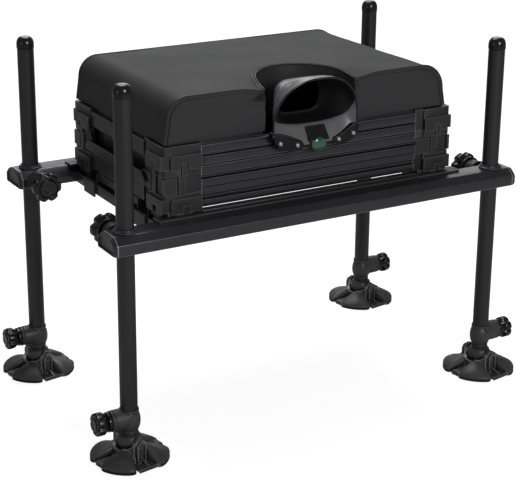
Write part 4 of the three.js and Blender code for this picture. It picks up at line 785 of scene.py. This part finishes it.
# Piping: two thin sewn cords round the front and rear seams, and two along the notch's rim
def seamPath(end, inset):
    # the section without its floor; the inner cord lies on the panel, the outer one on the edge
    c = cushion
    halves = [cushionHalf(end * c.halfY, side)[c.floorPoints:] for side in (1, -1)]
    ring = np.concatenate([halves[0], halves[1][:-1][::-1]]) + [c.x, 0]
    middle = np.array([c.x, c.bottom])
    reach = np.array([c.halfX, c.top - c.bottom])
    ring = middle + (ring - middle) * (1 - inset / reach)
    out, lift = (1.0, 0) if inset else (0.3, 0.2)
    y = end * (c.halfY + out)
    return gathered(ring[:, 0], y, sewnDown(ring[:, 0], y, ring[:, 1]) + lift) * mm


def notchPath(spread):
    c = cushion
    angle = np.linspace(0.02, math.pi - 0.02, 90)
    x = c.notchX + (c.notchHalf + spread) * np.cos(angle)
    y = -c.halfY + (c.notchDepth + spread) * np.sin(angle)
    share = np.array([fullness(v) for v in y])
    across = np.abs(x - c.x) / (c.halfX - c.lean - c.drawIn * share - c.rollLeft)
    z = sewnDown(x, y, c.top + c.crown * (1 - np.minimum(1, across) ** 2) * share)
    return gathered(x, y, z + 0.3) * mm


def piped(name, paths):
    makePiece(name, [tubeAlong(path, cushion.cord, 8) for path in paths], "piping", "seat")


piped("piping_rear", [seamPath(1, inset) for inset in (0, cushion.seam)])
frontPaths = []
for inset in (0, cushion.seam):
    seam = seamPath(-1, inset)
    away = seam[:, 0] / mm - cushion.notchX
    clear = np.abs(away) > cushion.notchHalf - 1
    frontPaths += [seam[clear & (side * away > 0)] for side in (-1, 1)]
piped("piping_front", frontPaths)
piped("piping_notch", [notchPath(-0.5), notchPath(cushion.seam - 1.4)])
print("cushion dressed")

# Pole cup: a body of arched sections from the closed back to the mouth, a dark liner that paints the shade
# inside its mouth, and a lip
cup = Sizes(
    x=-6, face=-180.45, wall=3, lean=0.2, leanFrom=553, leanBehind=10, springShare=0.36, taperShare=0.2,
    taperRun=30, lip=-15.2, lipRadius=1.7, behind=[50, 48, 44, 34, 20, 8, 1.5, -1.5, -10, -14.5],
    half=[46, 51, 54, 62, 71, 78, 81.5, 82.5, 84.2, 85.5],
    bottom=[543, 540, 535, 533, 532, 531.3, 531, 506, 502, 499],
    top=[596, 601, 604, 606.5, 610, 613.5, 615.5, 616, 617.6, 618.5],
    floor=[547, 545, 539, 536.5, 535.5, 534, 533, 529, 515, 503],
    side=[0.5, 0.5, 0.5, 0.56, 0.66, 0.74, 0.78, 0.78, 0.8, 0.8],
    # the painted shade liner starts this far behind the face at this height, and nearer the lip above it, as
    # the shade inside the mouth does
    linerFrom=2.5, linerHeight=536, linerSlope=0.46, linerEnd=-13.6, linerBack=0.6, linerDepths=(0.4, 1.1),
    # the rim's insets from the outside and the inside, and the lip's from the outside
    rimInsets=(0.8, 2.2), lipInset=1.4, lipBack=0.2)


def cupPoints(behind, inset, isInside):
    # one loop at each distance behind the face: rounded above its springing, squarer below and at the
    # back, and the mouth's top leaning forward over its sides
    c = cup
    angle = fullTurn(128)
    cosine, sine = np.cos(angle), np.sin(angle)
    behind = np.asarray(behind, float)
    if behind.ndim == 1:
        behind = np.repeat(behind[:, None], len(angle), axis=1)

    def along(name):
        return np.interp(behind, c.behind[::-1], c[name][::-1])

    half = along("half") - inset
    low = along("floor" if isInside else "bottom") + (inset - c.wall if isInside else 0)
    high = along("top") - inset
    spring = low + (high - low) * c.springShare
    z = np.where(sine > 0, spring + (high - spring) * np.abs(sine) ** (along("side") + 0.2),
                 spring - (spring - low) * np.abs(sine) ** 0.5)
    mouth = c.behind[-1]
    taper = 1 - c.taperShare * np.clip((behind - mouth) / c.taperRun, 0, 1) * (high - z) / (high - low)
    x = c.x + half * taper * np.sign(cosine) * np.abs(cosine) ** along("side")
    reach = np.clip((c.leanBehind - behind) / (c.leanBehind - mouth), 0, 1) ** 2
    y = c.face + behind - c.lean * np.maximum(0, z - c.leanFrom) * reach
    return gathered(x, y, z)


def cupBody():
    c = cup
    outer = cupPoints(c.behind, 0, False)
    rim = (cupPoints([c.lip], c.rimInsets[0], False) + cupPoints([c.lip], c.rimInsets[1], True)) / 2
    inner = cupPoints([c.behind[0] - c.wall] + c.behind[1:], c.wall, True)
    return gridShell(np.concatenate([outer, rim, inner[::-1]]) * mm, ends=True)


def cupShadeLiner():
    # the painted shade's edge slants from behind the face at the chin to near the lip at the roof, where
    # shade falls inside the mouth
    c = cup
    along = np.linspace(0, 1, 16)[:, None]
    start = np.zeros(128)
    for _ in range(6):
        height = cupPoints(start[None], c.wall, True)[0, :, 2]
        start = c.linerFrom - c.linerSlope * (height - c.linerHeight)
        start = np.clip(start, c.linerEnd, c.linerFrom)
    behind = start + (c.behind[0] - c.wall - c.linerBack - start) * along
    skin, back = [cupPoints(behind, c.wall + depth, True) for depth in c.linerDepths]
    return gridShell(np.concatenate([skin[::-1], back]) * mm, ends=True)


# Chin: two screwed lugs before the unit's face, with the level's seat and a grip pad between them
chin = Sizes(
    left=[(-91, 521), (-88.5, 512), (-81, 503), (-63, 494.5), (-40, 493.5), (-33, 497), (-31.5, 504),
        (-38, 512), (-58, 520), (-72, 525), (-90, 528)],
    right=[(27.5, 506), (29, 496), (38, 493.5), (52, 494.5), (66, 499), (75.7, 507), (79.5, 519), (79, 527),
        (68, 528), (57, 520), (44, 512)], round=(4, 5), thick=20.2, tilt=0.6 / 25, tiltFrom=500,
    # the plate's rings as (distance behind its front, scale)
    rings=[(20.2, 1), (0.9, 1), (0.25, 0.985), (0, 0.96)],
    screws=[(-79.5, 511), (-45.5, 504), (38, 504), (67.5, 511)], screwOut=20.4, washerIn=0.2,
    head=[(0, 0), (3.4, 0), (3.4, 0.9), (2.0, 2.1), (0, 2.3)], headRound=0.5,
    washer=[(3.2, 0), (5.9, 0), (5.9, 0.9), (4.9, 1.2), (3.2, 0.5)], washerRound=0.3, level=(-3, 501),
    levelOut=19, levelRound=0.4,
    levelRing=[(9.7, -1), (12.2, -1), (12.2, 2.6), (11.4, 3.4), (10.2, 3.4), (9.7, 2.8)],
    # the level's seat as offsets from the level, and its stations before the face
    seat=[(-14, -7), (14, -7), (15, 7), (-15, 7)], seatRound=(3, 4), seatOut=[-1, 20.6, 21.4],
    # the grip: its back's corners, its thickness, and the pitch and slant of its low ridges
    grip=[(-20.5, -184.6, 529), (16.5, -184.6, 529), (19.5, -198.4, 506), (-20.5, -198.4, 506)],
    gripThick=(0, -1.4, 1.6), ridgePitch=4.6, ridgeSlant=27, ridgeShift=6, ridge=0.5, ridgeLeft=-19.5,
    ridgeRight=(16, 2.5), ridgeProud=0.1)


def chinY(z, out):  # the place in depth at a height: the chin's plates tilt a little
    return cup.face - out - chin.tilt * (z - chin.tiltFrom)


def lugShell(outline):
    shape = filleted(outline, *chin.round)
    middle = shape.mean(axis=0)
    rows = []
    for behind, scale in chin.rings:
        ring = middle + (shape - middle) * scale
        rows.append(gathered(ring[:, 0], chinY(ring[:, 1], chin.thick - behind), ring[:, 1]))
    return gridShell(np.stack(rows) * mm, ends=True)


def onScrews(shell, out):  # one shell at each of the four screws
    return [moved([shell], placed(x, chinY(z, out), z, turnX=90))[0] for x, z in chin.screws]


def gripPad():
    # the pad over the level: a plate on the chin's slope with a diamond pattern of low ridges
    back = np.array(chin.grip)
    front = back + chin.gripThick
    shells = [gridShell(np.stack([back, front]) * mm, ends=True)]
    x0, y0, z0 = front[0]
    y1, z1 = front[-1][1:]
    limit, widening = chin.ridgeRight
    share = np.linspace(0.03, 0.97, 8)
    for step in range(-4, 9):
        for lean in (-1, 1):
            x = x0 + chin.ridgePitch * step + lean * chin.ridgeSlant * (share - 0.5) + chin.ridgeShift
            path = gathered(x, y0 + (y1 - y0) * share - chin.ridgeProud, z0 + (z1 - z0) * share)
            path = path[(x > chin.ridgeLeft) & (x < limit + widening * share)]
            if len(path) > 1:
                shells.append(tubeAlong(path * mm, chin.ridge, 5))
    return shells


makePiece("cup_shell", [cupBody()], "satin", "frame", ["pole_cup"], sharp=45)
# a dark sheet inside the cup: painted shade
makePiece("cup_shade_liner", [cupShadeLiner()], "blackPadAndShade", "frame", sharp=45)
lipPath = cupPoints([cup.lip + cup.lipBack], cup.lipInset, False)[0] * mm
makePiece("cup_lip", [tubeAlong(lipPath, cup.lipRadius, 12, closed=True)], "gloss", "frame")
makePiece("cup_lugs", [lugShell(chin.left), lugShell(chin.right)], "black", "frame", sharp=45)
head = lathe(filleted(chin.head, chin.headRound, 3, closed=False), 28)
makePiece("lug_screws", onScrews(head, chin.screwOut), "screw", "frame")
washer = lathe(filleted(chin.washer, chin.washerRound, 2), 32, loop=True)
makePiece("lug_washers", onScrews(washer, chin.screwOut - chin.washerIn), "gloss", "frame")
levelX, levelZ = chin.level
seat = carried(filleted(stepped(levelX, levelZ, chin.seat), *chin.seatRound),
               [cup.face - out for out in chin.seatOut], "xzy", scales=[1, 1, 0.95])
ring = lathe(filleted(chin.levelRing, chin.levelRound, 3), 48, loop=True)
ring = moved([ring], placed(levelX, cup.face - chin.levelOut, levelZ, turnX=90))
makePiece("level_seat", [seat] + ring, "nylon", "frame", sharp=45)
makePiece("grip_pad", gripPad(), "blackPadAndShade", "frame")
softened("bubble_level", moulded["bubble_level"], "level")
print("cup dressed")

# Stage, light and camera, in metres; the lens was solved for a photograph 516 px wide
camera = Sizes(
    place=(-1.3166, -2.2471, 1.1958), yaw=29.839, pitch=18.324, roll=0.343, focal=1473.9, width=516,
    sensor=36, shift=(0.0203, -0.07), far=60)
stage = Sizes(size=14.0, level=-0.0006, colour="#cfcfcf", glow=0.8, skyLight=0.14)


def addStage():
    size, level = stage.size, stage.level
    mesh = bpy.data.meshes.new("studioFloor")
    ground = [(x * size, y * size, level) for x, y in ((-1, -1), (1, -1), (1, 1), (-1, 1))]
    mesh.from_pydata(ground, [], [(0, 1, 2, 3)])
    floor = addObject("studio_floor", mesh)
    material = bpy.data.materials.new("paleFloor")
    tree = emptyTree(material)
    path = addNode(tree, "LightPath")
    shade = addNode(tree, "BsdfDiffuse", {"Color": linear(stage.colour)})
    glow = addNode(tree, "Emission", {"Color": (1, 1, 1, 1), "Strength": stage.glow})
    both = addNode(tree, "AddShader", {0: shade.outputs["BSDF"], 1: glow.outputs["Emission"]})
    mixed = addNode(tree, "MixShader", {
        0: path.outputs["Is Camera Ray"], 1: shade.outputs["BSDF"], 2: both.outputs["Shader"]})
    addNode(tree, "OutputMaterial", {"Surface": mixed.outputs["Shader"]})
    mesh.materials.append(material)


def addLight(name, place, target, size, power):  # an oval panel, its width and height
    light = bpy.data.lights.new(name, "AREA")
    light.shape, light.size, light.size_y, light.energy = "ELLIPSE", size[0], size[1], power
    lamp = addObject(name, light)
    lamp.location = place
    lamp.rotation_euler = (Vector(place) - Vector(target)).to_track_quat("Z", "Y").to_euler()


def addWorld():  # white to the camera and through glass, dim as a light
    world = bpy.data.worlds.new("softStudio")
    bpy.context.scene.world = world
    tree = emptyTree(world)
    path = addNode(tree, "LightPath")
    rays = {0: path.outputs["Is Camera Ray"], 1: path.outputs["Is Transmission Ray"]}
    seen = addNode(tree, "Math", rays, operation="MAXIMUM")
    strength = ranged(tree, seen.outputs["Value"], (0.0, 1.0), (stage.skyLight, 1.0))
    sky = addNode(tree, "Background", {"Color": (1, 1, 1, 1), "Strength": strength})
    addNode(tree, "OutputWorld", {"Surface": sky.outputs["Background"]})


def addCamera():
    lens = bpy.data.cameras.new("photoCamera")
    lens.lens, lens.sensor_width = camera.focal / camera.width * camera.sensor, camera.sensor
    lens.shift_x, lens.shift_y = camera.shift
    lens.clip_end = camera.far
    view = addObject("photoCamera", lens)
    turn = Matrix.Rotation(math.radians(-camera.yaw), 4, "Z")
    for angle, axis in ((90 - camera.pitch, "X"), (camera.roll, "Z")):
        turn = turn @ Matrix.Rotation(math.radians(angle), 4, axis)
    view.matrix_world = Matrix.Translation(camera.place) @ turn
    bpy.context.scene.camera = view


addStage()
addLight("topSoftbox", (0.3, 1.1, 2.9), (0, 0, 0.4), (1.8, 1.8), 44)
addLight("backPanel", (2.2, 3.9, 1.75), (0, 0, 0.4), (4.2, 1.1), 20)
addLight("frontFill", (0.1, -3.0, 1.6), (0, 0, 0.35), (1, 1), 32)
addLight("leftKicker", (-3.2, -0.6, 0.9), (-0.3, 0, 0.3), (0.7, 0.7), 3)
addWorld()
addCamera()
bpy.context.scene.view_settings.view_transform = "Standard"
print("stage ready")
